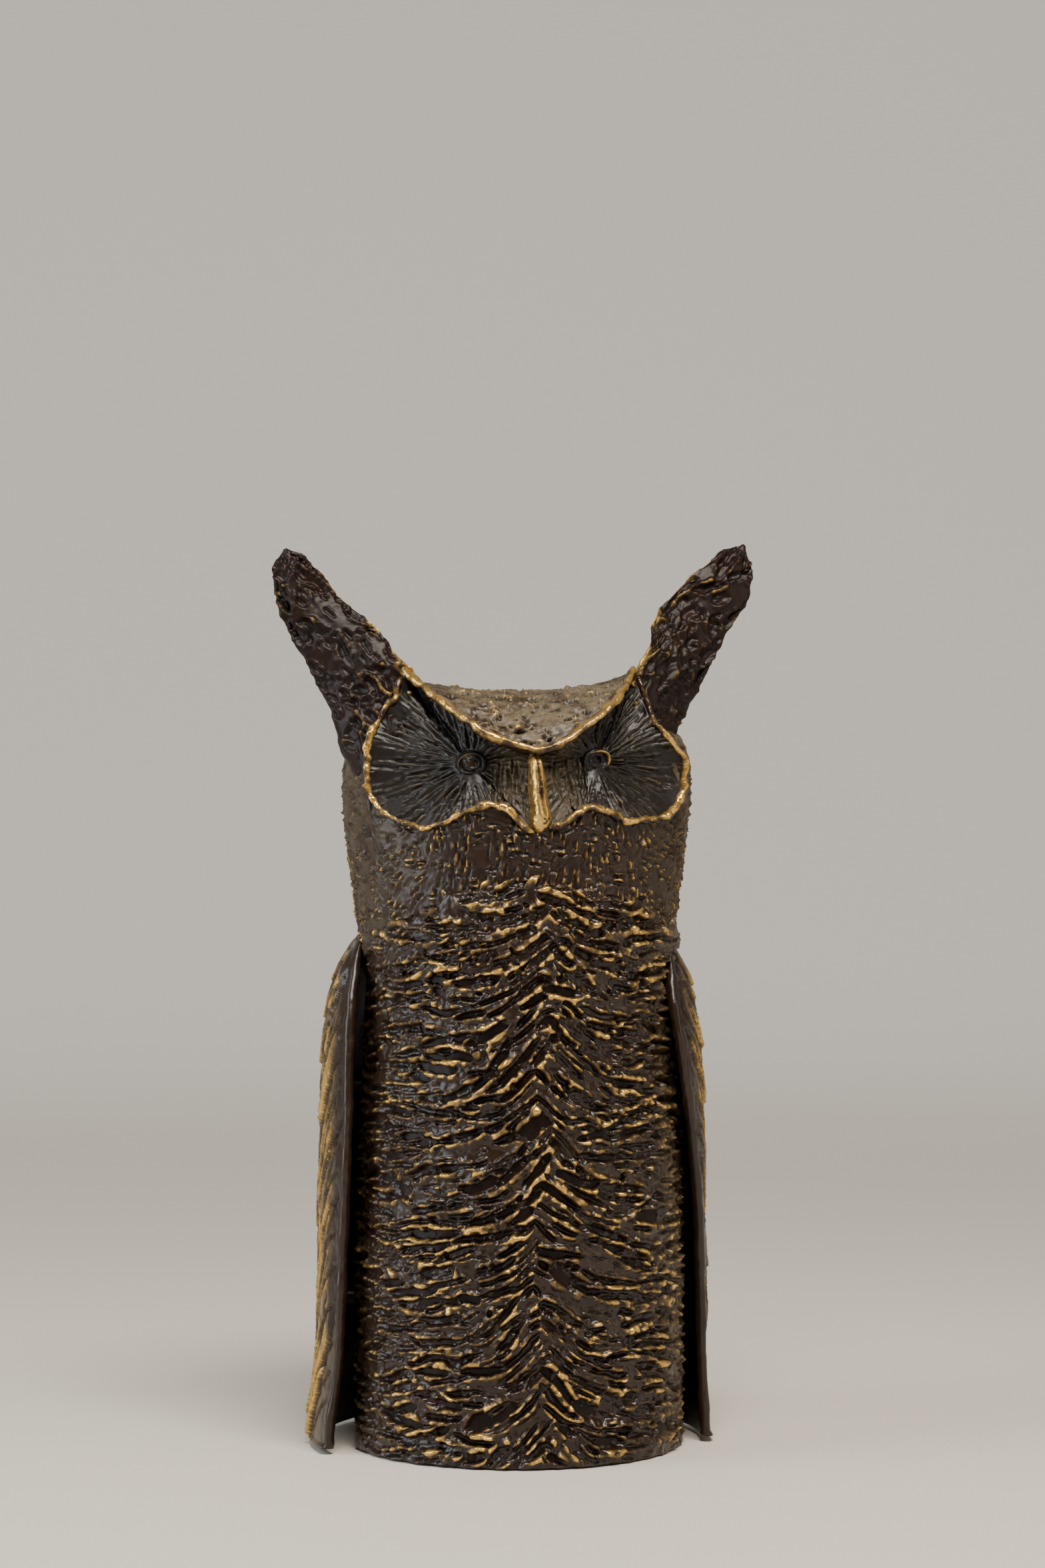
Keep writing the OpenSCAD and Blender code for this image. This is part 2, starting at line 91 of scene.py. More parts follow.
def along(x, pairs):
    """A smooth line through (x, value) pairs."""
    xs = np.array([p[0] for p in pairs], float)
    ys = np.array([p[1] for p in pairs], float)
    x = np.clip(x, xs[0], xs[-1])
    k = np.clip(np.searchsorted(xs, x, side="right") - 1, 0, len(xs) - 2)
    slope = np.gradient(ys, xs)
    width = xs[k + 1] - xs[k]
    t = (x - xs[k]) / width
    rise = ys[k] * (2 * t**3 - 3 * t**2 + 1) + ys[k + 1] * (3 * t**2 - 2 * t**3)
    return rise + width * (slope[k] * (t**3 - 2 * t**2 + t) + slope[k + 1] * (t**3 - t**2))


def cells(x):
    """The cell that each value is in, and its eased place in the cell."""
    i = np.floor(x).astype(int)
    f = x - i
    return i, f * f * (3 - 2 * f)


def noise(a, b, size, seed):
    """Smooth noise from -1 to 1 over a plane, with features of the given size."""
    side = PLANE_TABLE
    table = np.random.default_rng(seed).uniform(-1, 1, (side, side))
    i, f = cells(np.asarray(a, float) / size)
    j, g = cells(np.asarray(b, float) / size)
    left = i % side
    right = (i + 1) % side
    near, far = (table[left, k % side] * (1 - f) + table[right, k % side] * f for k in (j, j + 1))
    return near * (1 - g) + far * g


def ripple(x, size, seed):
    """Smooth noise from -1 to 1 along a line."""
    return noise(x, x * 0, size, seed)


def noise3(points, size, seed):
    """Smooth noise from -1 to 1 in space, so that it has no seam round a closed form."""
    side = SPACE_TABLE
    table = np.random.default_rng(seed).uniform(-1, 1, (side, side, side))
    (i, f), (j, g), (k, h) = (cells(points[..., axis] / size) for axis in range(3))
    total = np.zeros(f.shape)
    for di, wi in ((0, 1 - f), (1, f)):
        for dj, wj in ((0, 1 - g), (1, g)):
            for dk, wk in ((0, 1 - h), (1, h)):
                total += table[(i + di) % side, (j + dj) % side, (k + dk) % side] * wi * wj * wk
    return total


def rough(points, size, seed, octaves=3):
    """Noise in space with finer noise on top of it."""
    return sum(noise3(points, size / 2**n, seed + n) / 2**n for n in range(octaves))


def blurred(h, reach, wrap=False):
    """The map averaged over so many cells each way."""
    for _ in range(3):
        for axis in (0, 1):
            size = h.shape[axis]
            pad = [(0, 0), (0, 0)]
            pad[axis] = (reach + 1, reach)
            mode = "wrap" if wrap and axis == 1 else "edge"
            total = np.cumsum(np.pad(h, pad, mode=mode), axis=axis)
            high = np.take(total, np.arange(2 * reach + 1, 2 * reach + 1 + size), axis)
            low = np.take(total, np.arange(size), axis)
            h = (high - low) / (2 * reach + 1)
    return h


def masks_of(h, reach, low, high, wrap=False):
    """How far the surface stands over its surroundings, from low to high, and how far it lies below them."""
    stand = h - blurred(h, reach, wrap)
    return {
        "crest": held((stand - low) / (high - low)),
        "hollow": held(-stand / high),
    }


# ---- Modelling wax ----


class Wax:
    """A flat sheet of modelling wax: heights over u, across, and v, up. Each is given as its two ends."""

    def __init__(self, u, v, cell, wrap=0.0):
        self.u = np.arange(*u, cell, dtype=float)
        self.v = np.arange(*v, cell, dtype=float)
        self.wrap = wrap
        self.h = np.zeros((len(self.u), len(self.v)))

    def near(self, points, reach):
        """The cells around a line: where they are, distance, share along it, side of it, and its length."""
        p = np.asarray(points, float)
        low = p.min(0) - reach
        high = p.max(0) + reach
        i = slice(*np.searchsorted(self.u, (low[0], high[0])))
        j = slice(*np.searchsorted(self.v, (low[1], high[1])))
        u, v = np.meshgrid(self.u[i], self.v[j], indexing="ij")
        if u.size == 0:
            return None
        pieces = np.diff(p, axis=0)
        lengths = np.hypot(pieces[:, 0], pieces[:, 1]) + 1e-9
        starts = np.concatenate([[0], np.cumsum(lengths)])
        nearest = np.full(u.shape, 1e9)
        share = np.zeros(u.shape)
        side = np.zeros(u.shape)
        for k, (du, dv) in enumerate(pieces):
            t = held(((u - p[k, 0]) * du + (v - p[k, 1]) * dv) / lengths[k] ** 2)
            a = u - p[k, 0] - t * du
            b = v - p[k, 1] - t * dv
            d = np.hypot(a, b)
            closer = d < nearest
            nearest = np.where(closer, d, nearest)
            share = np.where(closer, (starts[k] + t * lengths[k]) / starts[-1], share)
            side = np.where(closer, np.sign(du * b - dv * a), side)
        return (i, j), nearest, share, side, starts[-1]

    def shifts(self, points):
        """The line, and its copies past the seam of a closed form."""
        p = np.asarray(points, float)
        if not self.wrap:
            return [p]
        return [p + (n * self.wrap, 0) for n in (-1, 0, 1)]

    def gouge(self, points, width, depth, berm, seed):
        """Draws a round tool along a line: a trough, with the wax that it moves piled beside it."""
        edge = 0.5 * width
        spread = 0.25 + 0.55 * width
        for p in self.shifts(points):
            found = self.near(p, width + spread + 0.3)
            if found is None:
                continue
            where, d, t, side, length = found
            old = self.h[where]
            ends = held(np.minimum(t / 0.15, (1 - t) / 0.25)) ** 0.6
            wave = noise(t * length, side * 7.0, 2.2, seed + 1)
            crumbs = noise(t * length, side * 9.0, 0.9, seed)
            w = width * (0.35 + 0.65 * ends) * (1 + 0.2 * wave)
            x = d - w
            comb = 0.06 * np.sin(side * d * 6 + seed) * min(1.6, width)
            floor = depth * ends * ((d / w) ** 2 - 1) + comb + 0.15 * old
            cut = 1 - step(x, -edge, 0)
            pile = np.where(x < 0.1, step(x, -edge, 0.1), held(1 - (x - 0.1) / spread) ** 1.3)
            pile = pile * berm * ends * np.clip(0.62 + 0.95 * crumbs, 0.05, 1.5)
            self.h[where] = old * (1 - cut) + floor * cut + pile * (1 - 0.5 * held(old))

    def feather(self, root, tip, width, lift, bend, seed):
        """Lays one leaf-shaped feather over what is there, thicker towards its tip."""
        a = np.asarray(root, float)
        b = np.asarray(tip, float)
        across = np.array([a[1] - b[1], b[0] - a[0]])
        line = [a + (b - a) * s + across * bend * s * (1 - s) for s in np.linspace(0, 1, 9)]
        for p in self.shifts(line):
            found = self.near(p, width + 0.5)
            if found is None:
                continue
            where, d, t, side, length = found
            wave = 1 + 0.1 * noise(t * length, side * 5.0, 3.0, seed)
            w = width * wave * np.sin(np.pi * np.clip(t, 0.03, 0.975) ** 0.75) ** 0.5
            x = d / w
            barbs = 0.1 * np.sin((t * length * 0.7 - d * 1.2) * 3.6 + seed) * held(x)
            shaft = 0.25 * hump(d, 0.3) * (1 - 0.7 * t)
            level = lift * (0.2 + 0.8 * t) * (1 - 0.45 * x**2) + shaft + barbs
            edge = 0.22 * hump(x - 0.85, 0.12) * (0.5 + 0.5 * t)
            cover = 1 - step(x, 0.86, 1.03)
            moat = 0.75 * lift * hump(x - 1.04, 0.1) * step(t, 0.1, 0.3)
            old = self.h[where]
            self.h[where] = old * (1 - cover) + (0.25 * old + level + edge) * cover - moat

    def dab(self, u, v, radius, height, power=0.6):
        """Presses a round pellet on, or a round pit in if the height is negative."""
        for p in self.shifts([(u, v), (u + 0.01, v)]):
            found = self.near(p, radius * 1.5)
            if found is None:
                continue
            where, d = found[:2]
            form = held(1 - (d / radius) ** 2) ** power
            ring = -0.25 * height * hump(d / radius - 1.1, 0.2)
            self.h[where] += height * form + (ring if height < 0 else 0)

    def at(self, u, v):
        """The height at each point."""
        i = np.interp(u, self.u, np.arange(len(self.u)))
        j = np.interp(v, self.v, np.arange(len(self.v)))
        i0 = np.minimum(i.astype(int), len(self.u) - 2)
        j0 = np.minimum(j.astype(int), len(self.v) - 2)
        f = i - i0
        g = j - j0
        low = self.h[i0, j0] * (1 - f) + self.h[i0 + 1, j0] * f
        high = self.h[i0, j0 + 1] * (1 - f) + self.h[i0 + 1, j0 + 1] * f
        return low * (1 - g) + high * g


# ---- Curves and meshes ----

UP = np.array((0, 0, 1))


def smooth_curve(points, count):
    """So many points, evenly spaced, on a smooth curve through the given ones."""
    p = np.asarray(points, float)
    chord = np.concatenate([[0], np.cumsum(np.linalg.norm(np.diff(p, axis=0), axis=1))])
    fine = np.linspace(0, chord[-1], 12 * len(p))
    dense = np.stack([along(fine, list(zip(chord, p[:, k]))) for k in range(p.shape[1])], -1)
    walk = np.concatenate([[0], np.cumsum(np.linalg.norm(np.diff(dense, axis=0), axis=1))])
    even = np.linspace(0, walk[-1], count)
    return np.stack([np.interp(even, walk, dense[:, k]) for k in range(p.shape[1])], -1)


def unit(v):
    """Each vector at length 1."""
    return v / (np.linalg.norm(v, axis=-1, keepdims=True) + 1e-12)


def grid_normals(p, wrap, inside):
    """Unit normals of a grid of points, pointing away from the point inside."""
    if wrap:
        du = np.roll(p, -1, 1) - np.roll(p, 1, 1)
    else:
        du = np.gradient(p, axis=1)
    n = unit(np.cross(np.gradient(p, axis=0), du))
    outward = np.sum(n * (p - np.asarray(inside, float)), axis=-1)
    return n if np.mean(outward) > 0 else -n


def add_piece(name, points, faces, masks, material):
    """Makes an object from points, faces as (count, corners) arrays, and a mask value at each point."""
    mesh = bpy.data.meshes.new(name)
    mesh.vertices.add(len(points))
    mesh.vertices.foreach_set("co", (points * MM).astype(np.float32).ravel())
    corners = np.concatenate([f.ravel() for f in faces])
    sizes = np.concatenate([np.full(len(f), f.shape[1]) for f in faces])
    starts = np.concatenate([[0], np.cumsum(sizes)[:-1]])
    a, b, c = (points[faces[0][:, k]] for k in range(3))
    d = points[faces[0][:, 3]]
    volume = np.sum(a * np.cross(b, c)) + np.sum(a * np.cross(c, d))
    mesh.loops.add(len(corners))
    mesh.loops.foreach_set("vertex_index", corners.astype(np.int32))
    mesh.polygons.add(len(sizes))
    mesh.polygons.foreach_set("loop_start", starts.astype(np.int32))
    mesh.update(calc_edges=True)
    mesh.validate()
    if volume < 0:
        mesh.flip_normals()
    for key, values in masks.items():
        attribute = mesh.attributes.new(key, "FLOAT", "POINT")
        attribute.data.foreach_set("value", values.astype(np.float32))
    mesh.shade_smooth()
    mesh.materials.append(material)
    piece = bpy.data.objects.new(name, mesh)
    bpy.context.scene.collection.objects.link(piece)
    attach(piece, "root")
    return piece


def quads(index, wrap_rows=False, wrap_round=True):
    """The four corners of each cell of a grid of point numbers."""
    down = np.roll(index, -1, 0) if wrap_rows else index[1:]
    up = index if wrap_rows else index[:-1]
    if wrap_round:
        return np.stack([up, np.roll(up, -1, 1), np.roll(down, -1, 1), down], -1).reshape(-1, 4)
    return np.stack([up[:, :-1], up[:, 1:], down[:, 1:], down[:, :-1]], -1).reshape(-1, 4)


def full_masks(shape, masks):
    """Mask arrays for every point, with 0 where none is given."""
    made = {}
    for key in ("crest", "hollow", "residue"):
        made[key] = np.broadcast_to(masks.get(key, 0.0), shape).ravel()
    return made


def loft_piece(name, p, masks, material, closed_rows=False):
    """A piece from closed loops, capped at both ends or joined first to last."""
    rows, around = p.shape[:2]
    index = np.arange(rows * around).reshape(rows, around)
    faces = [quads(index, closed_rows)]
    if not closed_rows:
        faces.append(index[0][::-1][None, :])
        faces.append(index[-1][None, :])
    return add_piece(name, p.reshape(-1, 3), faces, full_masks((rows, around), masks), material)


def sheet_piece(name, front, back, masks, material, every=6):
    """A piece from a worked front and a plain back that has a point for every few of the front's."""
    n, m = front.shape[:2]
    index = np.arange(n * m).reshape(n, m)
    rear = back[::every, ::every]
    rear_index = n * m + np.arange(rear.shape[0] * rear.shape[1]).reshape(rear.shape[:2])
    faces = [quads(index, False, False), quads(rear_index, False, False)[:, ::-1]]
    edges = (
        (index[:, 0], rear_index[:, 0], False),
        (index[:, -1], rear_index[:, -1], True),
        (index[0], rear_index[0], True),
        (index[-1], rear_index[-1], False),
    )
    for fine, coarse, flip in edges:
        side = []
        for k in range(len(coarse) - 1):
            run = list(fine[k * every : (k + 1) * every + 1]) + [coarse[k + 1], coarse[k]]
            side.append(run[::-1] if flip else run)
        faces.append(np.array(side))
    points = np.concatenate([front.reshape(-1, 3), rear.reshape(-1, 3)])
    front_masks = full_masks((n, m), masks)
    filled = {k: np.concatenate([v, np.zeros(rear_index.size)]) for k, v in front_masks.items()}
    return add_piece(name, points, faces, filled, material)


def bead_piece(name, curve, radius, seed, material, lumps=0.32, flat=1.0, joints=(), shine=1.0):
    """A hand-rolled bead of wax along a curve, lumpy, with a step in it at each joint."""
    rows = len(curve)
    radius = np.broadcast_to(radius, rows)
    t = np.linspace(0, 1, rows)
    length = np.sum(np.linalg.norm(np.diff(curve, axis=0), axis=1))
    run = t * length
    offset = np.stack([noise(run, run * 0 + k, 3.4, seed + k) for k in range(3)], -1) * 0.5
    spine = curve + offset * step(np.minimum(t, 1 - t), 0, 0.06)[:, None]
    forward = unit(np.gradient(spine, axis=0))
    outward = unit(spine * (1, 1, 0))
    outward = unit(outward - forward * np.sum(outward * forward, -1, keepdims=True))
    beside = np.cross(forward, outward)
    size = radius * (1 + lumps * ripple(run, 1.7, seed + 5) + 0.12 * ripple(run, 0.7, seed + 6))
    for k, joint in enumerate(joints):
        size = size * np.where(t > joint, 1.18 if k % 2 else 0.84, 1.0)
    size = size * np.sqrt(np.clip(np.minimum(t, 1 - t) / 0.03, 0.02, 1))
    angle = circle(24)
    ring = outward[:, None] * np.cos(angle)[None, :, None] * flat
    ring = ring + beside[:, None] * np.sin(angle)[None, :, None]
    p = spine[:, None] + ring * size[:, None, None]
    p = p + unit(ring) * rough(p, 1.3, seed + 9, 2)[..., None] * 0.3 * radius[:, None, None]
    # Painted light: the side of the bead facing up and forward is lifted to gold as a painted highlight, and
    # the side facing down and back is darkened as painted shade; the noise adds patchy real wear.
    facing_light = unit(ring) @ np.array((0, -0.55, 0.6))
    crest = held(0.4 + 0.8 * facing_light + 0.75 * rough(p, 2.4, seed + 11, 2)) * np.reshape(shine, (-1, 1))
    hollow = held(-0.2 - 0.8 * facing_light)
    return loft_piece(name, p, {"crest": crest, "hollow": hollow}, material)


# ---- The owl's form ----

# Points inside the column, the head, the crown and the beak, which their surfaces face away from.
COLUMN_CORE = (0, 0, 60)
HEAD_CORE = (0, 0, 130)
CROWN_CORE = (0, 0, 150)
BEAK_CORE = (0, -32, 143)
# Radii at which the wax of the breast and of the head is rolled out flat.
BREAST_ROLL = 36.2
HEAD_ROLL = 37
# Heights of the head's lower edge, of the two ends of the neck's curve and of the crown's top.
HEAD_FOOT = 105.5
NECK_LOW = 104
NECK_HIGH = 112
CROWN_TOP = 166.6
# How far the back panels start inside the breast's radius.
COLUMN_SINK = 1.9
# Where the brows meet, as (x, z).
BROW_MEETING = (-0.3, 153.3)


def column_radius(z, s):
    """Radius over the breast at a height."""
    rise = step(z / (s.neck_height / MM), 0.35, 1.0)
    return s.foot_radius / MM + (s.shoulder_radius - s.foot_radius) / MM * rise


def figure_radius(phi, z, s):
    """Radius of the owl at an angle from straight ahead and a height: a column, then a head flat in front."""
    side = along(z, [(104, 34.7), (112, 35.3), (121, 36.3), (132, 37.9), (143, 38.9), (156, 38.9)])
    front = along(z, [(104, 34.6), (112, 34.3), (121, 33.7), (128, 33.0), (136, 33.0), (156, 33.6)])
    head = side + (front - side) * hump(phi, 0.75)
    body = column_radius(z, s)
    mix = step(z, NECK_LOW, NECK_HIGH)
    return body * (1 - mix) + head * mix


def on_figure(phi, radius, z):
    """The point at an angle from straight ahead, a radius and a height."""
    return np.stack([radius * np.sin(phi), -radius * np.cos(phi), z + 0 * phi], -1)


def rim_depth(x):
    """How far forward the edge of a facial disc is, at a distance from the middle of the face."""
    return -34.5 + 0.0145 * x * x


# Outlines of the facial discs as (x, z), from the foot of the beak round the cheek to the end of the brow.
CHEEK_LINE = {
    LEFT: [(-1.6, 135.6), (-3.4, 136.6), (-5.8, 139.3), (-9.8, 141.3), (-15.5, 140.2), (-20.6, 137.4),
           (-25.2, 136.7), (-30.5, 138.7), (-34.2, 142.4), (-35.7, 148.8), (-34.8, 155.6), (-31.6, 161.2),
           (-28.6, 165.0)],
    RIGHT: [(1.6, 136.4), (4.4, 137.6), (7.6, 139.5), (10.6, 140.7), (14.8, 140.1), (18.6, 138.5),
            (24.4, 138.0), (29.2, 138.8), (32.6, 141.9), (34.6, 147.2), (34.4, 151.4), (31.4, 155.4),
            (27.4, 159.4)],
}
# The brow lines as (x, z), from the middle of the face to the root of the ear tuft.
BROW_LINE = {
    LEFT: [BROW_MEETING, (-3.7, 153.7), (-8.9, 155.6), (-14.6, 158.9), (-18.9, 163.0), (-22.6, 166.6),
           (-26.2, 170.3)],
    RIGHT: [BROW_MEETING, (3.1, 154.0), (8.8, 157.3), (14.1, 161.0), (19.0, 165.2), (21.6, 168.3),
            (23.6, 171.4)],
}
EYE_AT = {LEFT: (-14.0, 150.4), RIGHT: (13.4, 151.0)}
EYE_DEPTH = -26.6


def brow_depth(x):
    """How far forward a brow is. Its end bends back to the ear tuft."""
    return -34.0 + 0.0225 * x * x + 8.5 * step(abs(x), 15, 26)


def brow_points(side):
    """The brow as points in space."""
    return np.array([(x, brow_depth(x), z) for x, z in BROW_LINE[side]])


def cheek_points(side):
    """The lower and outer edge of a facial disc as points in space."""
    return np.array([(x, rim_depth(x) + 7.5 * step(z, 153, 164), z) for x, z in CHEEK_LINE[side]])


def head_top_line():
    """For the throat and cheeks: angle, radius and height where they meet the discs, and the crown behind."""
    rows = []
    for side in (LEFT, RIGHT):
        p = cheek_points(side)[:10]
        phi = np.arctan2(p[:, 0], -p[:, 1])
        line = [(a, math.hypot(q[0], q[1]), q[2]) for a, q in zip(phi, p)]
        rows += line
        last = line[-1]
        rows.append((last[0] + side * 0.06, 38.8, 150.0))
        rows.append((last[0] + side * 0.5, 38.9, 147.0))
        rows.append((side * math.pi, 38.8, 145.5))
    rows.sort()
    return np.array(rows)


def crown_line():
    """For the crown: angle, start radius and height, then radius and height of its bend."""
    head = head_top_line()
    rows = []
    for side in (LEFT, RIGHT):
        for q in brow_points(side)[1:]:
            r = math.hypot(q[0], q[1])
            phi = math.atan2(q[0], -q[1])
            rise = abs(q[0]) / 26
            z = q[2] + 0.2 - 1.2 * step(rise, 0.7, 1)
            rows.append((phi, r - 0.9, z, r - 11 + 2 * rise, 166.4 + 0.4 * rise))
        brow_end = abs(rows[-1][0])
        bends = ((brow_end + 0.04, 36.5, 167.0), (brow_end + 0.3, 38.0, 168.0), (2.0, 38.8, 167.2),
                 (math.pi, 38.7, 167.0))
        for phi, r1, z1 in bends:
            r0 = np.interp(side * phi, head[:, 0], head[:, 1]) - 0.2
            z0 = np.interp(side * phi, head[:, 0], head[:, 2]) - 0.6
            rows.append((side * phi, r0, z0, r1, z1))
    rows.append((0.0, 33.0, 153.7, 22.5, 166.2))
    rows.sort()
    return np.array(rows)


# ---- Settings ----


def length(name, description, default):
    """A length in the settings, given in metres."""
    return FloatProperty(name=name, description=description, default=default, min=0, unit="LENGTH",
                         subtype="DISTANCE")


def colour(name, description, default):
    """A colour in the settings."""
    return FloatVectorProperty(name=name, description=description, default=default, size=4, subtype="COLOR")


class OwlBodySettings(bpy.types.PropertyGroup):
    """Sizes of the column and its feathers."""

    foot_radius: length("Foot radius", "Radius over the breast feathers at the foot", 0.0369)
    shoulder_radius: length("Shoulder radius", "Radius over the breast feathers at the neck", 0.0344)
    neck_height: length("Neck height", "Height of the seam between column and head", 0.112)
    row_gap: length("Row gap", "Distance between rows of breast strokes", 0.0027)
    stroke_width: length("Stroke width", "Half width of the tool that draws the breast", 0.00098)
    stroke_depth: length("Stroke depth", "Depth of a stroke in the breast", 0.0011)
    stroke_berm: length("Stroke berm", "Height of the wax piled beside a stroke", 0.00125)
    fall: length("Fall", "How far a breast stroke falls from the middle to the side", 0.0090)
    seed: IntProperty(name="Seed", description="Chooses another arrangement of strokes", default=4)


class OwlHeadSettings(bpy.types.PropertyGroup):
    """Sizes of the face."""

    rim_radius: length("Rim radius", "Half width of the bead around a facial disc", 0.00085)
    brow_radius: length("Brow radius", "Half width of the bead along a brow", 0.00095)
    brow_overhang: length("Brow overhang", "Depth of the hollow under a brow", 0.0058)
    beak_width: length("Beak width", "Width of the beak at its foot", 0.0043)
    eye_radius: length("Eye radius", "Radius over the ring of an eye", 0.0033)
    groove_depth: length("Groove depth", "Depth of the lines that fan out from an eye", 0.00045)
    seed: IntProperty(name="Seed", description="Chooses another arrangement of marks", default=21)


class OwlLimbSettings(bpy.types.PropertyGroup):
    """Sizes of the ear tufts, wings and tail."""

    tuft_thickness: length("Tuft thickness", "Thickness of an ear tuft at its root", 0.0050)
    wing_thickness: length("Wing thickness", "Thickness of a wing shell", 0.0030)
    wing_lift: length("Wing lift", "Height of a wing above the table", 0.0013)
    feather_lift: length("Feather lift", "Height of a wing feather's tip over its neighbours", 0.0012)
    tail_thickness: length("Tail thickness", "Thickness of the tail", 0.0040)
    seed: IntProperty(name="Seed", description="Chooses another arrangement of feathers", default=37)


class OwlFinishSettings(bpy.types.PropertyGroup):
    """Colours of the patina."""

    dark: colour("Dark", "Patina in the hollows", (0.0045, 0.0032, 0.003, 1))
    brown: colour("Brown", "Patina on the open surface", (0.0185, 0.0088, 0.0048, 1))
    gold: colour("Gold", "Bronze where the patina is rubbed away", (0.66, 0.41, 0.115, 1))
    residue: colour("Residue", "Dry wax left on the crown and cheeks", (0.13, 0.10, 0.06, 1))


class OwlStageSettings(bpy.types.PropertyGroup):
    """The studio."""

    distance: length("Camera distance", "From the camera to the owl's axis", 0.8235)
    height: length("Camera height", "Height of the camera above the table", 0.146)
    azimuth: FloatProperty(name="Camera azimuth", description="Angle of the camera round the owl",
                           default=math.radians(-9), subtype="ANGLE")
    key: FloatProperty(name="Window light", description="Power of the light on the left, in watts",
                       default=6.0, min=0)
    top: FloatProperty(name="Top light", description="Power of the light overhead, in watts",
                       default=12.0, min=0)


# ---- Finishes ----


class Nodes:
    """Adds nodes to a tree, with their values and links in one call."""

    def __init__(self, tree):
        self.tree = tree
        self.column = 0

    def add(self, kind, inputs=None, **settings):
        """Adds a node. An input is a value, or the socket that feeds it."""
        made = self.tree.nodes.new(kind)
        made.location = (self.column * 190, -140 * (self.column % 4))
        self.column += 1
        for key, value in settings.items():
            setattr(made, key, value)
        self.feed(made, inputs or {})
        return made

    def feed(self, made, inputs):
        """Sets a node's inputs."""
        for key, value in inputs.items():
            if isinstance(value, bpy.types.NodeSocket):
                self.tree.links.new(value, made.inputs[key])
            else:
                made.inputs[key].default_value = value

    def math(self, operation, a, b, clamp):
        """Adds a math node and returns its result."""
        return self.add("ShaderNodeMath", {0: a, 1: b}, operation=operation, use_clamp=clamp).outputs[0]

    def plus(self, a, b, clamp=False):
        """The sum of two values."""
        return self.math("ADD", a, b, clamp)

    def minus(self, a, b, clamp=False):
        """The difference of two values."""
        return self.math("SUBTRACT", a, b, clamp)

    def times(self, a, b, clamp=False):
        """The product of two values."""
        return self.math("MULTIPLY", a, b, clamp)

    def mix(self, factor, a, b):
        """Adds a colour mix and returns its result."""
        made = self.add("ShaderNodeMix", {0: factor, 6: a, 7: b}, data_type="RGBA", clamp_factor=True)
        return made.outputs[2]

    def ramp(self, value, low, high):
        """Stretches a range of values to 0 to 1."""
        values = {0: value, 1: low, 2: high, 3: 0.0, 4: 1.0}
        return self.add("ShaderNodeMapRange", values, interpolation_type="SMOOTHSTEP").outputs[0]

    def noise(self, vector, scale, detail=4.0, roughness=0.55):
        """Adds a noise texture and returns its value."""
        values = {"Vector": vector, "Scale": scale, "Detail": detail, "Roughness": roughness}
        return self.add("ShaderNodeTexNoise", values).outputs["Fac"]


def new_group(name, inputs, outputs):
    """A node group with named sockets: (name, kind, default) in, (name, kind) out."""
    group = bpy.data.node_groups.new(name, "ShaderNodeTree")
    for label, kind, default in inputs:
        socket = group.interface.new_socket(label, in_out="INPUT", socket_type=kind)
        if default is not None:
            socket.default_value = default
    for label, kind in outputs:
        group.interface.new_socket(label, in_out="OUTPUT", socket_type=kind)
    nodes = Nodes(group)
    return group, nodes, nodes.add("NodeGroupInput").outputs, nodes.add("NodeGroupOutput").inputs


NUMBER = "NodeSocketFloat"
COLOUR = "NodeSocketColor"
VECTOR = "NodeSocketVector"
# Colour of the light that comes from all round.
HAZE = (0.85, 0.82, 0.78, 1)


def patina_group(s):
    """Patina that is dark in the hollows, brown in the open and rubbed to bronze on the crests. On the rims
    and brows the Crest input also carries a painted highlight and the Hollow input painted shade.
    """
    group, n, given, result = new_group(
        "Rubbed patina",
        [("Vector", VECTOR, None), ("Crest", NUMBER, 0.0), ("Hollow", NUMBER, 0.0), ("Residue", NUMBER, 0.0),
         ("Wear", NUMBER, 0.5), ("Dullness", NUMBER, 0.2), ("Dark", COLOUR, tuple(s.dark)),
         ("Brown", COLOUR, tuple(s.brown)), ("Gold", COLOUR, tuple(s.gold)),
         ("Dry wax", COLOUR, tuple(s.residue))],
        [("Color", COLOUR), ("Metallic", NUMBER), ("Roughness", NUMBER)],
    )
    clouds = n.noise(given["Vector"], 55.0, 3.0)
    patches = n.noise(given["Vector"], 190.0, 5.0, 0.6)
    specks = n.noise(given["Vector"], 1500.0, 3.0, 0.65)
    # Wear eats into the crests, less where the patches are thick.
    uneven = n.minus(patches, 0.5)
    worn = n.plus(given["Crest"], n.times(uneven, 1.1))
    worn = n.plus(worn, n.times(n.minus(specks, 0.5), 0.7))
    worn = n.plus(worn, n.minus(given["Wear"], 0.5))
    bright = n.ramp(worn, 0.5, 1.12)
    warm = n.ramp(worn, 0.12, 0.85)
    oxblood = n.mix(n.ramp(clouds, 0.5, 0.68), given["Dark"], (0.028, 0.006, 0.004, 1))
    ground = n.mix(n.times(given["Hollow"], 1.0, True), given["Brown"], oxblood)
    ground = n.mix(n.ramp(patches, 0.42, 0.62), ground, n.mix(0.5, ground, given["Dark"]))
    open_metal = n.mix(warm, ground, n.mix(0.22, given["Brown"], given["Gold"]))
    dusty = n.times(given["Residue"], n.ramp(n.plus(patches, n.times(specks, 0.5)), 0.5, 0.9))
    coated = n.mix(dusty, open_metal, given["Dry wax"])
    final = n.mix(bright, coated, given["Gold"])
    n.tree.links.new(final, result["Color"])
    metal = n.plus(n.times(warm, 0.35), n.times(bright, 0.55), True)
    metal = n.times(metal, n.minus(1.0, n.times(dusty, 0.6)))
    n.tree.links.new(metal, result["Metallic"])
    rough_part = n.plus(n.times(patches, 0.25), n.times(dusty, 0.3))
    n.tree.links.new(n.plus(rough_part, given["Dullness"]), result["Roughness"])
    return group


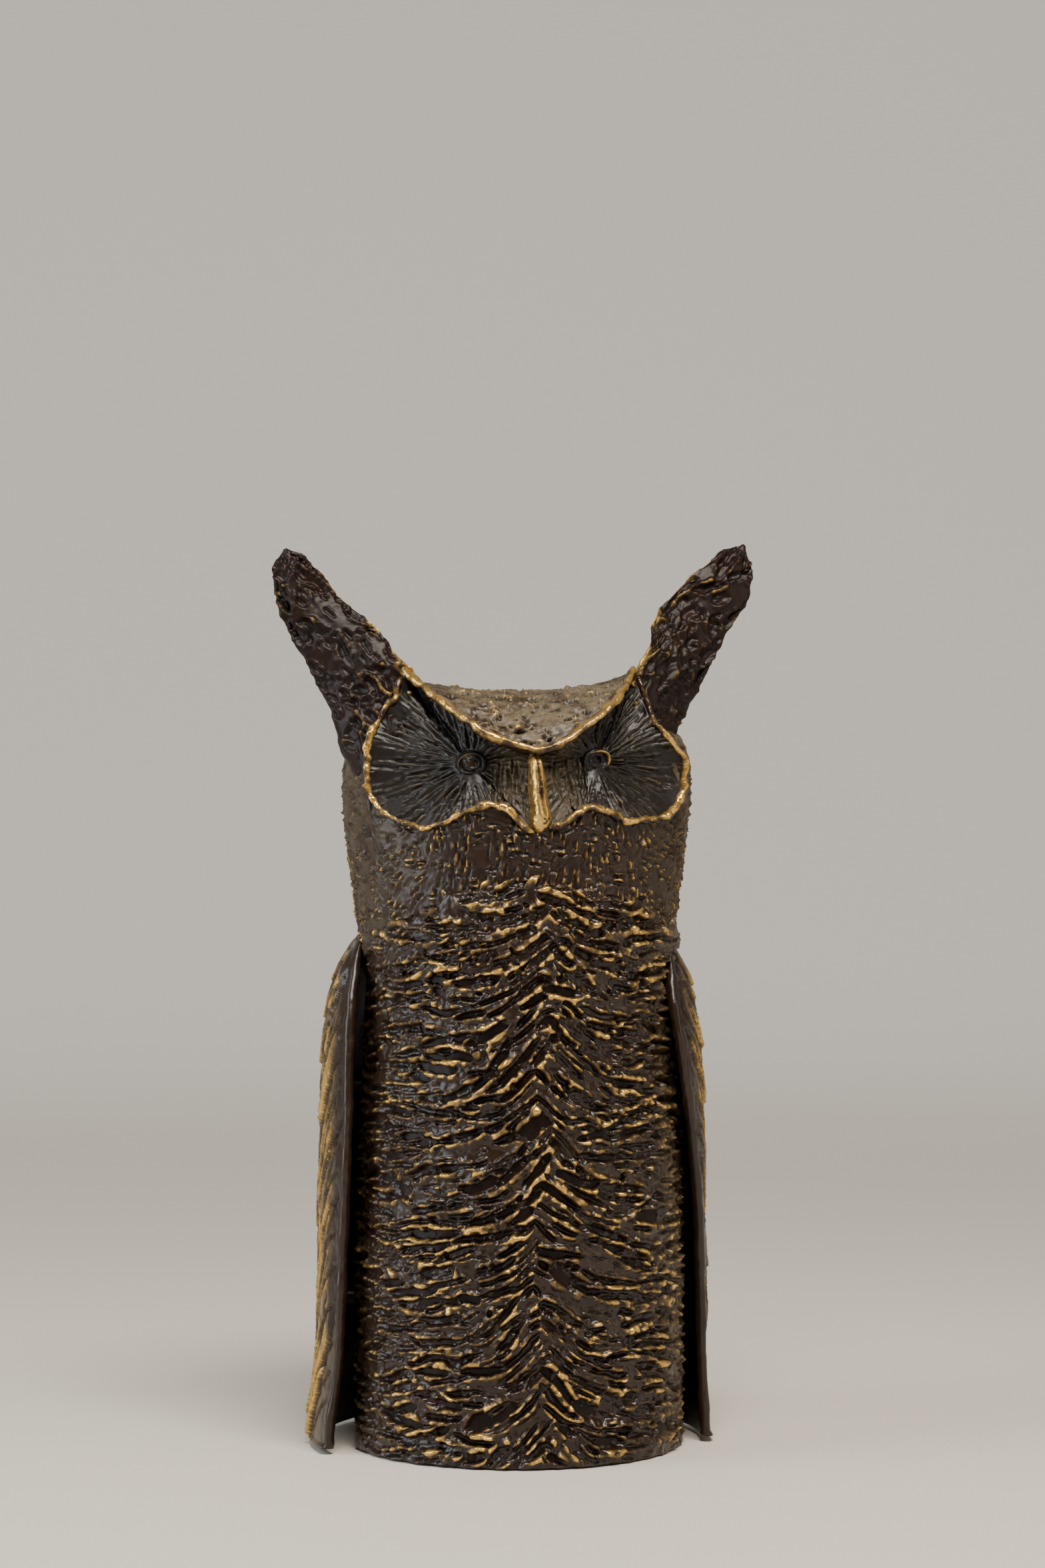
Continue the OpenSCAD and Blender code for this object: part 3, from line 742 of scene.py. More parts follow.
def skin_group():
    """Height of the fine skin of a lost-wax casting: soft grain, brush scratches and pinholes."""
    group, n, given, result = new_group(
        "Cast skin",
        [("Vector", VECTOR, None), ("Grain", NUMBER, 1.0), ("Scratches", NUMBER, 0.4)],
        [("Height", NUMBER)],
    )
    grain = n.noise(given["Vector"], 900.0, 6.0, 0.62)
    stretch = n.add("ShaderNodeMapping", {"Vector": given["Vector"], "Scale": (1.0, 1.0, 0.18)}).outputs[0]
    lines = n.noise(stretch, 2600.0, 2.0)
    pits = n.add("ShaderNodeTexVoronoi", {"Vector": given["Vector"], "Scale": 700.0}).outputs["Distance"]
    holes = n.minus(1.0, n.ramp(pits, 0.04, 0.2))
    height = n.times(grain, given["Grain"])
    height = n.plus(height, n.times(lines, given["Scratches"]))
    height = n.minus(height, n.times(holes, 0.35))
    n.tree.links.new(height, result["Height"])
    return group


def finish_material(name, groups, wear=0.5, grain=1.0, scratches=0.4, relief=0.12, coat=0.25, dull=0.2,
                    shine=0.3, brown=None, crest=None, residue=None):
    """Bronze for one family of pieces. Crest and residue are read from the mesh unless a value is given."""
    material = bpy.data.materials.new(name)
    material.use_nodes = True
    n = Nodes(material.node_tree)
    n.tree.nodes.clear()
    place = n.add("ShaderNodeTexCoord").outputs["Object"]
    patina = {"Vector": place, "Wear": wear, "Dullness": dull}
    if brown:
        patina["Brown"] = brown
    for label, given in (("Crest", crest), ("Hollow", None), ("Residue", residue)):
        if given is None and (label != "Hollow" or crest is None):
            given = n.add("ShaderNodeAttribute", attribute_name=label.lower()).outputs["Fac"]
        if given is not None:
            patina[label] = given
    tone = n.add("ShaderNodeGroup", node_tree=groups["patina"])
    skin = n.add("ShaderNodeGroup", node_tree=groups["skin"])
    n.feed(tone, patina)
    n.feed(skin, {"Vector": place, "Grain": grain, "Scratches": scratches})
    height = skin.outputs["Height"]
    bump = n.add("ShaderNodeBump", {"Height": height, "Strength": 0.6, "Distance": relief * MM})
    surface = n.add("ShaderNodeBsdfPrincipled", {
        "Base Color": tone.outputs["Color"], "Metallic": tone.outputs["Metallic"],
        "Roughness": tone.outputs["Roughness"], "Normal": bump.outputs["Normal"],
        "Specular IOR Level": shine, "Coat Weight": coat, "Coat Roughness": 0.2,
    })
    n.add("ShaderNodeOutputMaterial", {"Surface": surface.outputs["BSDF"]})
    return material


def plain_material(name, paint, roughness):
    """A plain matt surface with a faint grain."""
    material = bpy.data.materials.new(name)
    material.use_nodes = True
    n = Nodes(material.node_tree)
    n.tree.nodes.clear()
    place = n.add("ShaderNodeTexCoord").outputs["Object"]
    fine = n.noise(place, 1800.0, 5.0)
    darker, lighter = (tuple(min(1, c * part) for c in paint) + (1,) for part in (0.8, 1.15))
    tone = n.mix(fine, darker, lighter)
    bump = n.add("ShaderNodeBump", {"Height": fine, "Strength": 0.3, "Distance": 0.0002})
    surface = n.add("ShaderNodeBsdfPrincipled", {
        "Base Color": tone, "Roughness": roughness, "Normal": bump.outputs["Normal"],
    })
    n.add("ShaderNodeOutputMaterial", {"Surface": surface.outputs["BSDF"]})
    return material


def backdrop_material():
    """Pale paper that glows: painted light, faint for all rays and stronger for camera rays, rising with
    distance from the middle, so that it keeps its tone far from the lamps.
    """
    material = plain_material("Pale paper", (0.64, 0.60, 0.545), 0.7)
    material.cycles.emission_sampling = "NONE"
    n = Nodes(material.node_tree)
    place = n.add("ShaderNodeTexCoord").outputs["Object"]
    away = n.add("ShaderNodeVectorMath", {"Vector": place}, operation="LENGTH").outputs["Value"]
    seen = n.add("ShaderNodeLightPath").outputs["Is Camera Ray"]
    # Painted light: the paper's glow, rising from 0.3 m to 1.3 m out and stronger for camera rays.
    glow = n.times(n.ramp(away, 0.3, 1.3), n.plus(0.04, n.times(seen, 0.26)))
    surface = next(node for node in n.tree.nodes if node.type == "BSDF_PRINCIPLED")
    surface.inputs["Emission Color"].default_value = HAZE
    n.tree.links.new(glow, surface.inputs["Emission Strength"])
    return material


def finish(name):
    """A finish by its name."""
    return bpy.data.materials[name]


class OWL_OT_finishes(bpy.types.Operator):
    """Make the patinas"""

    bl_idname = "owl.finishes"
    bl_label = "Finishes"

    def execute(self, context):
        s = context.scene.owl_finish
        groups = {"patina": patina_group(s), "skin": skin_group()}
        finish_material("Breast patina", groups, wear=0.58, relief=0.16, coat=0.2, dull=0.15)
        finish_material("Head patina", groups, wear=0.41, relief=0.16, coat=0.08)
        finish_material("Disc patina", groups, wear=0.3, relief=0.1, scratches=0.2, coat=0.0, dull=0.26,
                        brown=(0.0085, 0.0065, 0.0055, 1))
        finish_material("Rim patina", groups, wear=0.57, relief=0.16, coat=0.1, dull=0.08)
        finish_material("Tuft patina", groups, wear=0.34, relief=0.12, coat=0.0, dull=0.27, shine=0.17,
                        brown=(0.0125, 0.006, 0.004, 1))
        finish_material("Wing patina", groups, wear=0.5, relief=0.12, coat=0.2)
        finish_material("Filed bronze", groups, wear=0.3, relief=0.05, coat=0.0, crest=0.2, residue=0.0)
        plain_material("Felt", (0.03, 0.05, 0.04), 0.95)
        return {"FINISHED"}


# ---- Column and breast ----


def breast_line(side, start, x, s, seed, shift=0.0, drop=1.0):
    """A line that falls away from the middle of the breast, steeply at first and then nearly level."""
    out = np.sqrt(x * x + 1.2) - 1.1
    fall = drop * s.fall / MM * (1 - 0.5 * step(start, 96, 126)) * (1 - np.exp(-out / 6.0)) + 0.05 * out
    wave = 0.6 * ripple(x, 4.0, seed) + 1.3 * noise(x, x * 0 + start, 13.0, 7)
    return np.stack([side * x + shift + 1.5 * noise(start, 0, 8.0, 3), start - fall + wave], -1)


def breast_wax(s):
    """The breast, drawn with a round tool from the middle outwards and down."""
    wax = Wax((-56.1, 56.2), (0.4, 129.6), 0.29)
    dice = np.random.default_rng(s.seed)
    lines = []
    for start in np.arange(-3, 142, s.row_gap / MM):
        for side in (LEFT, RIGHT):
            x = dice.uniform(-4.0, -1.0) if dice.random() < 0.3 else dice.uniform(0.0, 3.2)
            while x < 55:
                reach = dice.uniform(4, 15)
                lines.append((side, start + dice.normal(0, 0.9), x, x + reach, dice.uniform(0.6, 1.5)))
                x += reach * dice.uniform(0.6, 0.95)
    dice.shuffle(lines)

    def strays(near, starts, reach, size):
        """Stray strokes, as (side, start, from, to, size)."""
        made = []
        for x in dice.uniform(*near):
            side = dice.choice([LEFT, RIGHT])
            made.append((side, dice.uniform(*starts), x, x + dice.uniform(*reach), dice.uniform(*size)))
        return made

    smears = strays((0, 34, 28), (6, 128), (5, 12), (1.9, 2.9))
    marks = strays((-1, 50, 420), (0, 136), (2, 7), (0.3, 0.5))
    half = len(lines) // 2
    for k, (side, start, x0, x1, size) in enumerate(lines[:half] + smears + lines[half:] + marks):
        x = np.linspace(x0, x1, 9)
        line = breast_line(side, start, x, s, 900 + k, dice.normal(0, 1.8), dice.uniform(0.7, 1.35))
        line[:, 1] += dice.normal(0, 0.13) * (x - x0)
        size = size * (1 + 0.3 * step(start, 100, 118) * step(-start, -150, -126))
        width = s.stroke_width / MM * size
        depth = s.stroke_depth / MM * min(size, 1.3) * dice.uniform(0.7, 1.2)
        berm = s.stroke_berm / MM * min(size, 1.2) * dice.uniform(0.5, 1.3)
        wax.gouge(line, width, depth, berm, 3 * k)
    for _ in range(330):
        u = dice.uniform(-52, 52)
        v = dice.uniform(3, 120)
        wax.dab(u, v, dice.uniform(0.35, 0.85), dice.uniform(0.2, 0.75))
    for _ in range(40):
        u = dice.uniform(-34, 40)
        v = dice.choice([dice.uniform(20, 122), dice.uniform(98, 121)])
        line = [(u, v), (u + dice.normal(0, 1.6), v - 0.5)]
        wax.gouge(line, dice.uniform(1.0, 1.7), dice.uniform(1.2, 2.0), 0.9, 5)
    return wax


class OWL_OT_breast(bpy.types.Operator):
    """Sculpt the breast feathers"""

    bl_idname = "owl.breast"
    bl_label = "Breast"

    def execute(self, context):
        s = context.scene.owl_body
        wax = breast_wax(s)
        u, z = np.meshgrid(wax.u, wax.v, indexing="ij")
        phi = u / BREAST_ROLL
        arch = 124.5 - 12.5 * np.sin(phi) ** 2 + 1.2 * ripple(u, 6.0, 5)
        # Over the arch the breast sinks under the throat.
        over = step(z, arch - 0.6, arch + 3.4)
        side = step(np.abs(u), 51.0, 56.0)
        low = step(z, 0.5, 2.4)
        calm = 1 - 0.6 * step(np.abs(u), 33, 49) - 0.3 * side
        h = wax.h * (0.25 + 0.75 * low) * calm * (1 - 0.6 * over)
        base = figure_radius(phi, z, s) + 0.7 * step(z, 100, 112) * (1 - over) - 1.7 * over - 1.5 * side
        bare = on_figure(phi, base, z)
        h = np.where(h > 0, 1.2 * np.tanh(h / 1.2), h)
        h = h + 0.2 * rough(bare, 1.5, 31, 3) + 0.3 * noise3(bare, 9.0, 33)
        normal = grid_normals(bare, False, COLUMN_CORE)
        front = bare + normal * h[..., None]
        front[..., 2] = np.maximum(front[..., 2], 0.35)
        masks = masks_of(h, 4, 0.2, 1.0)
        kept = step(noise3(bare, 5.0, 36) + 0.7 * noise3(bare, 1.8, 37), -0.45, 0.4)
        masks["crest"] = masks["crest"] * (0.4 + 0.6 * kept)
        masks["residue"] = 0.45 * step(u, 26, 40) + 0.15 * step(-u, 30, 44)
        thickness = 2.2
        piece = sheet_piece("breast", front, bare - normal * thickness, masks, finish("Breast patina"))
        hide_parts("breast_feathers")
        return {"FINISHED"}


def ring_wall(outer, inner_rows, thickness, inside):
    """Adds the inner face of a hollow form under its outer rows."""
    n = grid_normals(outer, True, inside)
    chosen = np.linspace(len(outer) - 1, 0, inner_rows).astype(int)
    return np.concatenate([outer, outer[chosen] - n[chosen] * thickness])


def padded_masks(masks, after, before=0):
    """Masks for an outer face, continued with zeros over the rows after it and before it."""
    return {k: np.pad(v, ((before, after), (0, 0))) for k, v in masks.items()}


class OWL_OT_column(bpy.types.Operator):
    """Sculpt the column between the wings"""

    bl_idname = "owl.column"
    bl_label = "Column"

    def execute(self, context):
        s = context.scene.owl_body
        phi = bearings(220)
        z = np.linspace(0.5, 112.5, 110)[:, None]
        phi, z = np.broadcast_arrays(phi, z)
        bare = on_figure(phi, column_radius(z, s) - 1.1 - 0.9 * step(np.abs(phi), 1.9, 2.3), z)
        h = 0.35 * rough(bare * (1, 1, 0.5), 3.2, 61, 3)
        outer = bare + grid_normals(bare, True, COLUMN_CORE) * h[..., None]
        inner_rows = 12
        p = ring_wall(outer, inner_rows, 3.0, COLUMN_CORE)
        masks = padded_masks(masks_of(h, 3, 0.1, 0.6, True), inner_rows)
        piece = loft_piece("column", p, masks, finish("Tuft patina"), closed_rows=True)
        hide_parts("body_shell", "core_plugs")
        return {"FINISHED"}


# ---- Head ----


def head_wax(s):
    """Throat, cheeks and the back of the head, scratched and stippled with a small tool."""
    around = 2 * math.pi * HEAD_ROLL
    wax = Wax((-around / 2, around / 2 + 0.3), (104, 153), 0.3, wrap=around)
    dice = np.random.default_rng(s.seed)
    for k in range(2600):
        u = dice.uniform(-around / 2, around / 2)
        v = dice.uniform(106, 151)
        # Upright strokes on the throat, slanting ones elsewhere.
        upright = abs(u) < 27 and v > 122
        reach = dice.uniform(1.8, 4.5) if upright else dice.uniform(1.2, 4.0)
        lean = 90 if dice.random() < 0.7 else 5
        slant = 150 if u < 0 else 30
        angle = math.radians(dice.normal(lean, 9) if upright else dice.normal(slant, 28))
        end = (u + reach * math.cos(angle), v - reach * math.sin(angle))
        width = dice.uniform(0.3, 0.55) if upright else dice.uniform(0.3, 0.65)
        wax.gouge([(u, v), end], width, dice.uniform(0.4, 0.8), dice.uniform(0.3, 0.65), 5 * k)
    return wax


class OWL_OT_head(bpy.types.Operator):
    """Sculpt the head below the crown"""

    bl_idname = "owl.head"
    bl_label = "Head"

    def execute(self, context):
        s = context.scene.owl_head
        wax = head_wax(s)
        line = head_top_line()
        phi = bearings(560)
        t = np.linspace(0, 1, 104)[:, None]
        top_z = np.interp(phi, line[:, 0], line[:, 2])
        top_r = np.interp(phi, line[:, 0], line[:, 1])
        z = HEAD_FOOT + (top_z - HEAD_FOOT) * t
        phi, z = np.broadcast_arrays(phi, z)
        body = context.scene.owl_body
        meets = top_r - figure_radius(phi, top_z, body)
        bare = on_figure(phi, figure_radius(phi, z, body) + meets * step(t, 0.45, 1.0) - 0.3, z)
        h = wax.at(phi * HEAD_ROLL, z) + 0.12 * rough(bare, 1.8, 71, 2)
        h = h * (0.3 + 0.7 * step(1 - t, 0.0, 0.03))
        outer = bare + grid_normals(bare, True, HEAD_CORE) * h[..., None]
        inner_rows = 10
        p = ring_wall(outer, inner_rows, 2.5, HEAD_CORE)
        masks = masks_of(h, 2, 0.12, 0.5, True)
        fade = step(t, 0.6, 1.0) * step(np.abs(phi), 0.8, 1.2)
        masks["crest"] = masks["crest"] * (1 - 0.8 * fade)
        masks["residue"] = 0.35 * step(np.abs(phi), 0.5, 1.3) + 0.2 * fade
        masks = padded_masks(masks, inner_rows)
        piece = loft_piece("head", p, masks, finish("Head patina"), closed_rows=True)
        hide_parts("head_shell", "neck_weld")
        return {"FINISHED"}


def crown_wax(s):
    """The crown, pitted and dashed all over."""
    wax = Wax((-60, 60.2), (-60, 60.2), 0.35)
    dice = np.random.default_rng(s.seed + 1)
    for k in range(1300):
        u, v = dice.uniform(-58, 58, 2)
        reach = dice.uniform(0.8, 2.6)
        angle = dice.normal(0, 0.5)
        end = (u + reach * math.cos(angle), v + reach * math.sin(angle))
        width = dice.uniform(0.4, 0.95)
        wax.gouge([(u, v), end], width, dice.uniform(0.6, 1.3), dice.uniform(0.15, 0.5), 7 * k)
    for _ in range(850):
        u, v = dice.uniform(-58, 58, 2)
        wax.dab(u, v, dice.uniform(0.4, 1.0), -dice.uniform(0.5, 1.3))
    # Two deep nicks behind the left brow.
    wax.gouge([(-6.0, -36.6), (-3.2, -36.2)], 1.1, 1.8, 0.3, 3)
    wax.gouge([(-20.4, -25.6), (-18.4, -25.0)], 0.8, 1.4, 0.3, 4)
    return wax


class OWL_OT_crown(bpy.types.Operator):
    """Sculpt the crown between the brows"""

    bl_idname = "owl.crown"
    bl_label = "Crown"

    def execute(self, context):
        s = context.scene.owl_head
        line = crown_line()
        phi = bearings(430)
        t = np.linspace(0, 1, 96)[:, None] ** 1.1
        r0, z0, r1, z1 = (np.interp(phi, line[:, 0], line[:, k]) for k in (1, 2, 3, 4))
        r = r0 * (1 - t) ** 2 + 2 * r1 * t * (1 - t) + 0.15 * t**2
        z = z0 * (1 - t) ** 2 + 2 * z1 * t * (1 - t) + CROWN_TOP * t**2
        phi = np.broadcast_to(phi, r.shape)
        bare = on_figure(phi, r, z)
        wax = crown_wax(s)
        spread = (r + 0.8 * np.clip(166 - z, 0, None)) / np.maximum(r, 0.1)
        h = 1.25 * wax.at(bare[..., 0] * spread, bare[..., 1] * spread) + 0.55 * rough(bare, 2.2, 81, 3)
        side = step(np.abs(phi), 0.75, 1.1) * (1 - step(t, 0.25, 0.65))
        h = h * step(t, 0.0, 0.03) * (1 - step(t, 0.985, 1.0)) * (1 - 0.5 * side)
        outer = bare + grid_normals(bare, True, CROWN_CORE) * h[..., None]
        inner = bare[::10] * (0.93, 0.93, 1) - (0, 0, 1.6)
        p = np.concatenate([inner[::-1], outer])
        masks = masks_of(h, 3, 0.12, 0.75, True)
        masks["residue"] = held(0.85 - 0.3 * side - 1.6 * masks["hollow"])
        piece = loft_piece("crown", p, padded_masks(masks, 0, len(inner)), finish("Head patina"))
        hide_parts("crown_cap")
        return {"FINISHED"}


# ---- Face ----


def disc_outline(side, s):
    """The whole edge of a facial disc in space: cheek line, back under the brow, and down beside the beak."""
    cheek = cheek_points(side)
    brow = brow_points(side)[::-1][:-1]
    tuck = s.brow_overhang / MM * 0.8 * (1 - 0.85 * step(np.abs(brow[:, :1]), 14, 23))
    under = brow - unit(brow * (1, 1, 0)) * tuck - (0, 0, 0.3)
    bridge = np.array([(0.35 * side, -28.6, 153.6), (0.35 * side, -31.4, 149.0), (0.35 * side, -32.6, 142.5)])
    return np.concatenate([cheek, under, bridge])


def disc_wax(side, s):
    """Lines that fan out from the eye, with coarser upright strokes beside the beak."""
    x0, z0 = EYE_AT[side]
    wax = Wax((-40, 1.2) if side == LEFT else (-1, 40.2), (132, 174), 0.16)
    dice = np.random.default_rng(s.seed + 40 + side)
    depth = s.groove_depth / MM
    fans = 190
    for k in range(fans):
        angle = 2 * math.pi * (k + dice.uniform(-0.4, 0.4)) / fans
        start = dice.choice([3.9, 6.0, 8.5, 12.0]) + dice.uniform(-1.0, 1.0)
        end = start + dice.uniform(4, 14)
        bend = dice.normal(0, 0.05)
        reach = np.linspace(start, end, 6)
        turn = angle + bend * np.linspace(0, 1, 6)
        line = np.stack([x0 + reach * np.cos(turn), z0 + reach * np.sin(turn)], -1)
        wax.gouge(line, dice.uniform(0.26, 0.42), depth * dice.uniform(0.6, 1.4), 0.32, 11 * k)
    for k in range(34):
        u = side * dice.uniform(2.6, 10)
        v = dice.uniform(143.5, 152)
        line = [(u, v), (u + side * dice.normal(0.35, 0.35), v - dice.uniform(3, 6))]
        wax.gouge(line, dice.uniform(0.28, 0.5), depth * dice.uniform(0.8, 1.5), 0.35, 13 * k)
    return wax


def build_disc(side, s):
    """A dished facial disc around its eye."""
    x0, z0 = EYE_AT[side]
    outline = disc_outline(side, s)
    edge = smooth_curve(np.vstack([outline, outline[:1]]), 301)[:-1]
    reach = np.linspace(0, 1, 72)[:, None]
    x = x0 + (edge[:, 0] - x0) * reach
    z = z0 + (edge[:, 2] - z0) * reach
    back = step(edge[:, 1] - EYE_DEPTH, -3, 3)
    dish = (1 - back) * reach**1.7 + back * (1 - (1 - reach) ** 1.6)
    y = EYE_DEPTH + (edge[:, 1] - EYE_DEPTH) * dish
    bare = np.stack([x, y, z], -1)
    wax = disc_wax(side, s)
    h = wax.at(x, z) + 0.05 * rough(bare, 1.4, 91, 2)
    h = h * step(reach, 0.08, 0.16) * (1 - 0.7 * step(reach, 0.95, 1.0))
    front = bare + grid_normals(bare, True, (side * 20, 30, 150)) * h[..., None]
    rise = step(bare[..., 2], 150, 158) * (1 - step(bare[..., 2], 160, 166))
    deep = 5.5 * reach * rise * step(np.abs(bare[..., 0]), 20, 25)
    rear = (bare + np.stack([0 * deep, 1.8 + deep, 0 * deep], -1))[::8][::-1]
    p = np.concatenate([front, rear])
    masks = masks_of(h, 2, 0.1, 0.9, True)
    masks["residue"] = held(0.5 * step(-np.abs(x), -12, -5) + 1.1 * masks["crest"])
    masks["crest"] = 0.6 * masks["crest"]
    name = f"facial_disc_{SIDE_NAME[side]}"
    piece = loft_piece(name, p, padded_masks(masks, len(rear)), finish("Disc patina"))
    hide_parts(f"facial_disc_{SIDE_NAME[side]}")


def build_brow(side, s):
    """A brow: a bead in front, and a shelf behind it that roofs the hollow of the eye."""
    rows = 200
    curve = smooth_curve(brow_points(side), rows)
    run = np.linspace(0, 1, rows)
    brow_length = 34
    distance = run * brow_length
    outward = unit(curve * (1, 1, 0))
    angle = circle(36)
    forward = np.cos(angle)
    radius = s.brow_radius / MM * (1 + 0.25 * ripple(distance, 2.0, 15 + side))[:, None]
    shelf = radius + (s.brow_overhang / MM - radius) * (1 - step(run, 0.5, 0.85))[:, None]
    deep = np.where(forward > 0, forward * radius, forward * shelf)
    high = np.sin(angle) * radius * np.where(forward > 0, 1, 1 + 0.45 * forward)
    lift = 0.35 * ripple(distance, 3.5, 25 + side)
    p = curve[:, None] + outward[:, None] * deep[..., None] + UP * (high + lift[:, None])[..., None]
    p = p + unit(p - curve[:, None]) * rough(p, 1.5, 35 + side, 2)[..., None] * 0.2
    # Painted light: the brow's top and front are lifted to gold as a painted highlight, and its underside and
    # the shelf under it are darkened as painted shade; the noise adds patchy real wear.
    facing_light = np.broadcast_to(np.clip(forward, -1, 1) * 0.6 + np.sin(angle) * 0.5, p.shape[:2])
    crest = held(0.35 + 0.6 * facing_light + 0.5 * rough(p, 2.4, 45, 2))
    masks = {"crest": crest, "hollow": held(-facing_light)}
    piece = loft_piece(f"brow_{SIDE_NAME[side]}", p, masks, finish("Rim patina"))
    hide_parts(f"brow_{SIDE_NAME[side]}")


def build_rim(side, s):
    """The raised bead that runs under the eye and up the cheek."""
    cheek = cheek_points(side)
    end = brow_points(side)[-1]
    above = [cheek[-1] + (end - cheek[-1]) * share + (side * 0.5, 0.8, 0) for share in (0.35, 0.7, 0.97)]
    rows = 340
    curve = smooth_curve(np.vstack([cheek, above]), rows)
    joints, dim = {LEFT: ((0.2, 0.55), (285, 320)), RIGHT: ((0.26, 0.45, 0.6), (250, 290))}[side]
    upper = step(np.arange(rows), *dim)
    radius = s.rim_radius / MM * (0.94 - 0.12 * upper)
    piece = bead_piece(f"disc_rim_{SIDE_NAME[side]}", curve, radius, 50 + side, finish("Rim patina"),
                       flat=1.15, joints=joints, shine=1 - 0.75 * upper)
    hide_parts(f"disc_rim_{SIDE_NAME[side]}")


def build_eye(side, s):
    """A pellet for the eye inside a pressed ring, with a drilled pupil."""
    around = circle(96)
    size = s.eye_radius / MM
    share = np.linspace(0.01, 1.15, 60)[:, None]
    beside = share * size * np.cos(around)
    above = share * size * np.sin(around)
    dome = np.sqrt(held(1 - (share / 0.62) ** 2))
    ring = hump(share - 0.78 - 0.07 * np.cos(2 * around + 1), 0.15)
    if side == LEFT:
        strength = 0.75 + 0.5 * np.cos(around - 0.6)
        ball = 1.3 * dome
        pupil = -1.3 * np.exp(-(((beside + 0.9) / 0.8) ** 2 + (above - 0.1) ** 2))
    else:
        strength = 0.6 + 0.75 * np.cos(around - 2.4)
        ball = 0.5 * dome
        pupil = -3.2 * np.exp(-(((beside - 0.1) / 0.85) ** 4 + ((above - 0.1) / 0.85) ** 4))
    rise = 0.8 * ring * strength + ball + pupil - 1.4 * step(share, 0.9, 1.15) + 0.1
    x0, z0 = EYE_AT[side]
    faces = unit(np.array((side * 0.32, -1.0, 0.0)))
    across = unit(np.cross(faces, (0, 0, 1)))
    flat = across * beside[..., None] + UP * (above * 0.84)[..., None]
    centre = np.array((x0, EYE_DEPTH, z0))
    p = centre + flat + faces * rise[..., None]
    p = p + faces * (0.3 * rough(p, 1.5, 66 + side, 3))[..., None]
    back = centre - faces * 1.6 + flat[::-12] * 0.95
    p = np.concatenate([p, back])
    crest = (held(ring * strength - 0.3) + 0.7 * held(ball - 0.5)) * (0.7 if side == LEFT else 1.1)
    masks = {"crest": held(crest), "hollow": held(-pupil + step(share, 0.9, 1.1))}
    piece = loft_piece(f"eye_{SIDE_NAME[side]}", p, padded_masks(masks, len(back)), finish("Disc patina"))
    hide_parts(f"eye_{SIDE_NAME[side]}")


def build_beak(s):
    """A narrow beak with two lobes, frayed at its foot."""
    t = np.linspace(0, 1, 130)[:, None]
    z = 135.0 + 17.6 * t
    middle = along(t, [(0, -0.6), (0.12, 0.0), (0.5, -0.4), (1, -1.1)])
    shape = [(0, 0.62), (0.07, 1.02), (0.35, 1.0), (0.75, 0.8), (0.95, 0.6), (1, 0.4)]
    half = s.beak_width / MM / 2 * along(t, shape)
    tip = along(t, [(0, -33.6), (0.1, -35.3), (0.4, -35.9), (0.75, -35.2), (0.94, -34.2), (1, -32.6)])
    angle = circle(72)
    across = np.sign(np.cos(angle)) * np.abs(np.cos(angle)) ** 0.8
    out = np.clip(np.sin(angle), -0.3, 1)
    x = middle + half * across
    groove = 0.55 * hump(across - 0.1, 0.22) * held(np.sin(angle)) * step(t, 0.1, 0.35)
    y = -31.0 + (tip + 31.0) * out + groove
    p = np.stack([x, y, z + 0 * x], -1)
    n = grid_normals(p, True, BEAK_CORE)
    pits = held(noise3(p, 0.55, 77) - 0.25) * step(x, -0.2, 0.6) * step(0.5 - t, 0.0, 0.15)
    h = 0.16 * rough(p, 1.1, 74, 2) + 0.12 * noise3(p * (1, 1, 0.25), 0.8, 75) - 0.5 * pits
    p = p + n * h[..., None]
    crest = held(0.95 + 0.5 * rough(p, 2.0, 78, 2) - 2 * pits - groove) * step(out, -0.1, 0.5)
    masks = {"crest": crest, "hollow": held(2 * pits + groove)}
    piece = loft_piece("beak", p, masks, finish("Rim patina"))
    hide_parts("beak", "beak_pin")


class OWL_OT_face(bpy.types.Operator):
    """Sculpt the discs, brows, rims, eyes and beak"""

    bl_idname = "owl.face"
    bl_label = "Face"

    def execute(self, context):
        s = context.scene.owl_head
        for side in (LEFT, RIGHT):
            build_disc(side, s)
            build_brow(side, s)
            build_rim(side, s)
            build_eye(side, s)
        build_beak(s)
        return {"FINISHED"}


# ---- Ear tufts ----

# The two edges of each ear tuft as (x, z), from the root to the tip.
TUFT_INNER = {
    LEFT: [(-22.0, 161.0), (-24.1, 170.6), (-27.4, 174.2), (-32.2, 180.6), (-37.0, 184.9), (-40.6, 188.2),
           (-44.2, 193.0), (-48.0, 197.0), (-50.6, 198.2)],
    RIGHT: [(22.0, 161.0), (24.5, 171.2), (27.8, 176.4), (29.4, 181.6), (32.9, 186.6), (37.3, 190.7),
            (42.2, 194.7), (47.2, 198.7), (51.4, 200.3)],
}
TUFT_OUTER = {
    LEFT: [(-37.0, 147.5), (-39.8, 152.4), (-41.8, 160.8), (-44.8, 167.1), (-47.8, 173.4), (-52.0, 181.2),
           (-54.0, 187.2), (-54.5, 193.0), (-52.4, 197.6)],
    RIGHT: [(32.0, 150.5), (34.4, 156.0), (38.4, 164.1), (41.2, 168.2), (44.4, 174.4), (48.4, 181.4),
            (52.0, 185.9), (53.8, 193.0), (52.9, 198.8)],
}


